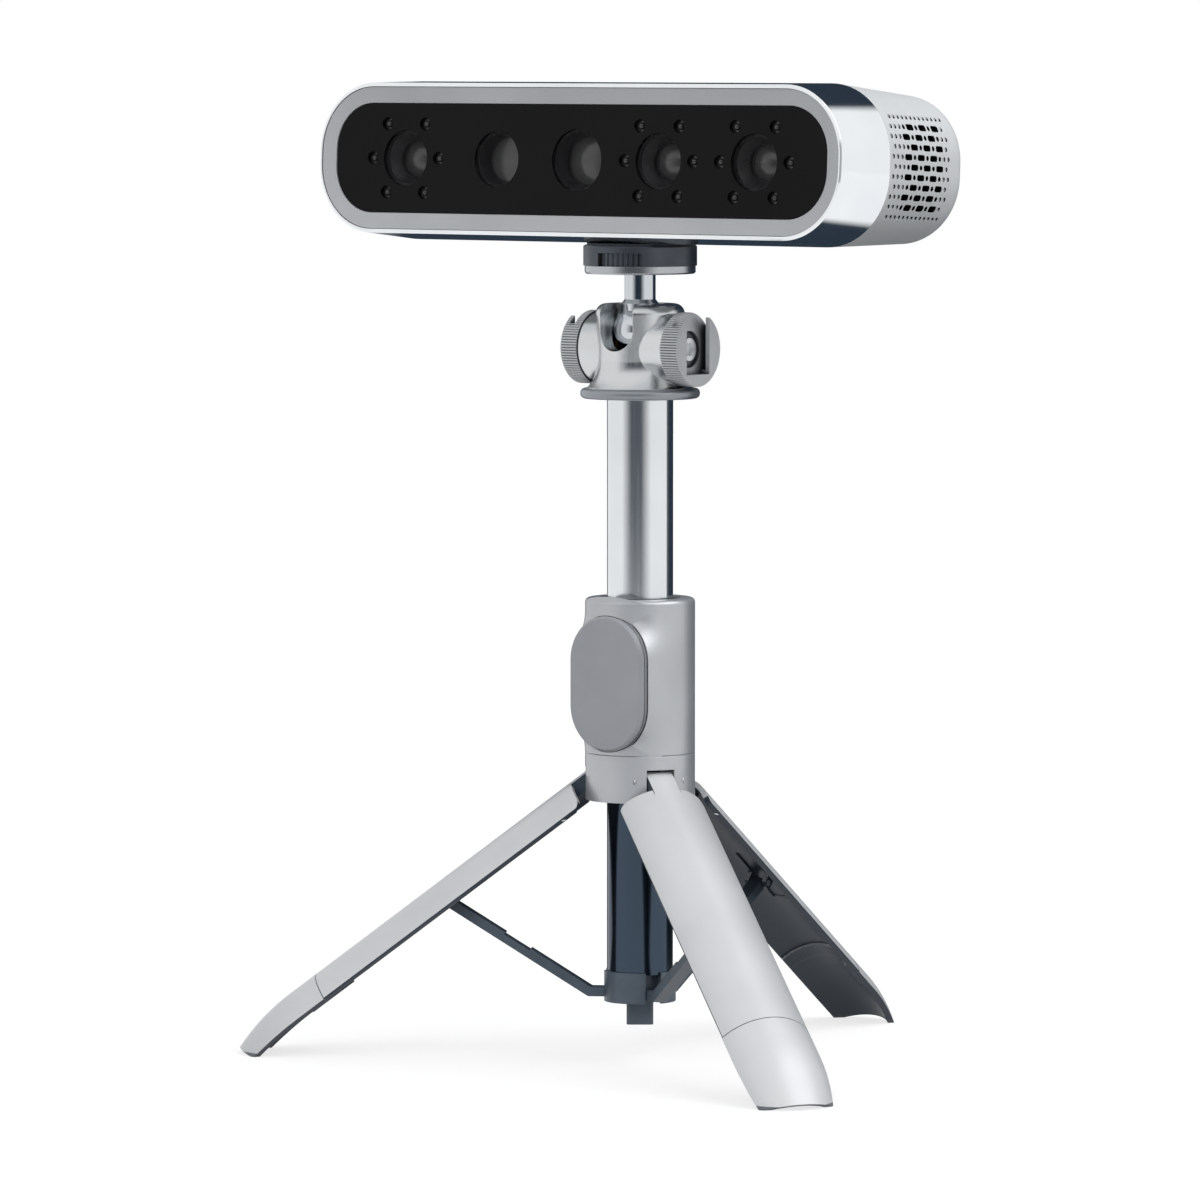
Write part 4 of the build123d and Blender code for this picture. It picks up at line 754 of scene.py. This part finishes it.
def flagMaterial(name, flag):  # dark cloth, its upright edges and its top fading into the white surround
    material, tree = emptyMaterial(name)
    place = addNode(tree, "ShaderNodeUVMap", uv_map="flag").outputs["UV"]
    parts = addNode(tree, "ShaderNodeSeparateXYZ", {"Vector": place}).outputs
    fromMiddle = addNode(tree, "ShaderNodeMath", {0: parts["X"], 1: 0.5}, operation="SUBTRACT")
    reach = addNode(tree, "ShaderNodeMath", {0: fromMiddle.outputs[0]}, operation="ABSOLUTE")
    sides = addNode(tree, "ShaderNodeMapRange", {
        "Value": reach.outputs[0], "From Min": 0.5 - flag["soft"], "From Max": 0.5})
    top = addNode(tree, "ShaderNodeMapRange", {"Value": parts["Y"], "From Min": 1 - flag["fade"]})
    edge = addNode(tree, "ShaderNodeMath", {0: sides.outputs[0], 1: top.outputs[0]}, operation="MAXIMUM")
    ramp = addNode(tree, "ShaderNodeValToRGB", {"Fac": edge.outputs[0]})
    for element, colour in zip(ramp.color_ramp.elements, (studio["flagColour"], "#ffffff")):
        element.color = linear(colour)
    light = addNode(tree, "ShaderNodeEmission", {"Color": ramp.outputs["Color"], "Strength": 1.0})
    addNode(tree, "ShaderNodeOutputMaterial", {"Surface": light.outputs[0]})
    return material


def buildFlag(shape, flag):
    layer = shape.loops.layers.uv.new("flag")
    count = studio["flagSteps"]
    for i in range(count):
        corners = ((i, 0), (i + 1, 0), (i + 1, 1), (i, 1))
        places = []
        for step, height in corners:
            angle = radians(view["turn"] + flag["turn"] + (step / count - 0.5) * flag["width"])
            rise = flag["low"] + (flag["high"] - flag["low"]) * height
            away = (flag["distance"] * sin(angle), axisY - flag["distance"] * cos(angle), rise)
            places.append(shape.verts.new(away))
        face = shape.faces.new(places)
        for loop, (step, height) in zip(face.loops, corners):
            loop[layer].uv = (step / count, height)


stagePiece("floor", lambda shape: bmesh.ops.create_circle(
    shape, cap_ends=True, segments=studio["floorSegments"], radius=studio["floorRadius"]), floorMaterial())
for name, flag in flags.items():
    card = stagePiece(name, lambda shape: buildFlag(shape, flag), flagMaterial(name + "Cloth", flag))
    card.visible_camera = False
    card.visible_diffuse = False
    card.visible_shadow = False
    card.visible_transmission = False

world = bpy.data.worlds.new("studio")
bpy.context.scene.world = world
world.use_nodes = True
tree = world.node_tree
tree.nodes.clear()
ambient = addNode(tree, "ShaderNodeBackground", {
    "Color": linear(studio["ambient"]), "Strength": studio["ambientStrength"]})
white = addNode(tree, "ShaderNodeBackground", {"Color": [1, 1, 1, 1], "Strength": studio["whiteStrength"]})
sky = addNode(tree, "ShaderNodeMixShader", {
    0: backgroundRays(tree), 1: ambient.outputs[0], 2: white.outputs[0]})
addNode(tree, "ShaderNodeOutputWorld", {"Surface": sky.outputs[0]})

lamps = {
    "keySun": {"kind": "SUN", "energy": 1.9, "spread": 60, "turn": 68, "rise": 52, "mirrored": True},
    "fillSun": {"kind": "SUN", "energy": 1.4, "spread": 60, "turn": -30, "rise": 32, "mirrored": False},
}
for name, lamp in lamps.items():
    light = bpy.data.lights.new(name, lamp["kind"])
    light.energy = lamp["energy"]
    light.angle = radians(lamp["spread"])
    holder = linkObject(name, light)
    holder.visible_glossy = lamp["mirrored"]
    heading = radians(view["turn"] + lamp["turn"])
    rise = radians(lamp["rise"])
    source = Vector((sin(heading) * cos(rise), -cos(heading) * cos(rise), sin(rise)))
    holder.rotation_euler = source.to_track_quat("Z", "Y").to_euler()
bpy.context.scene.view_settings.view_transform = "Standard"
print("studio set")
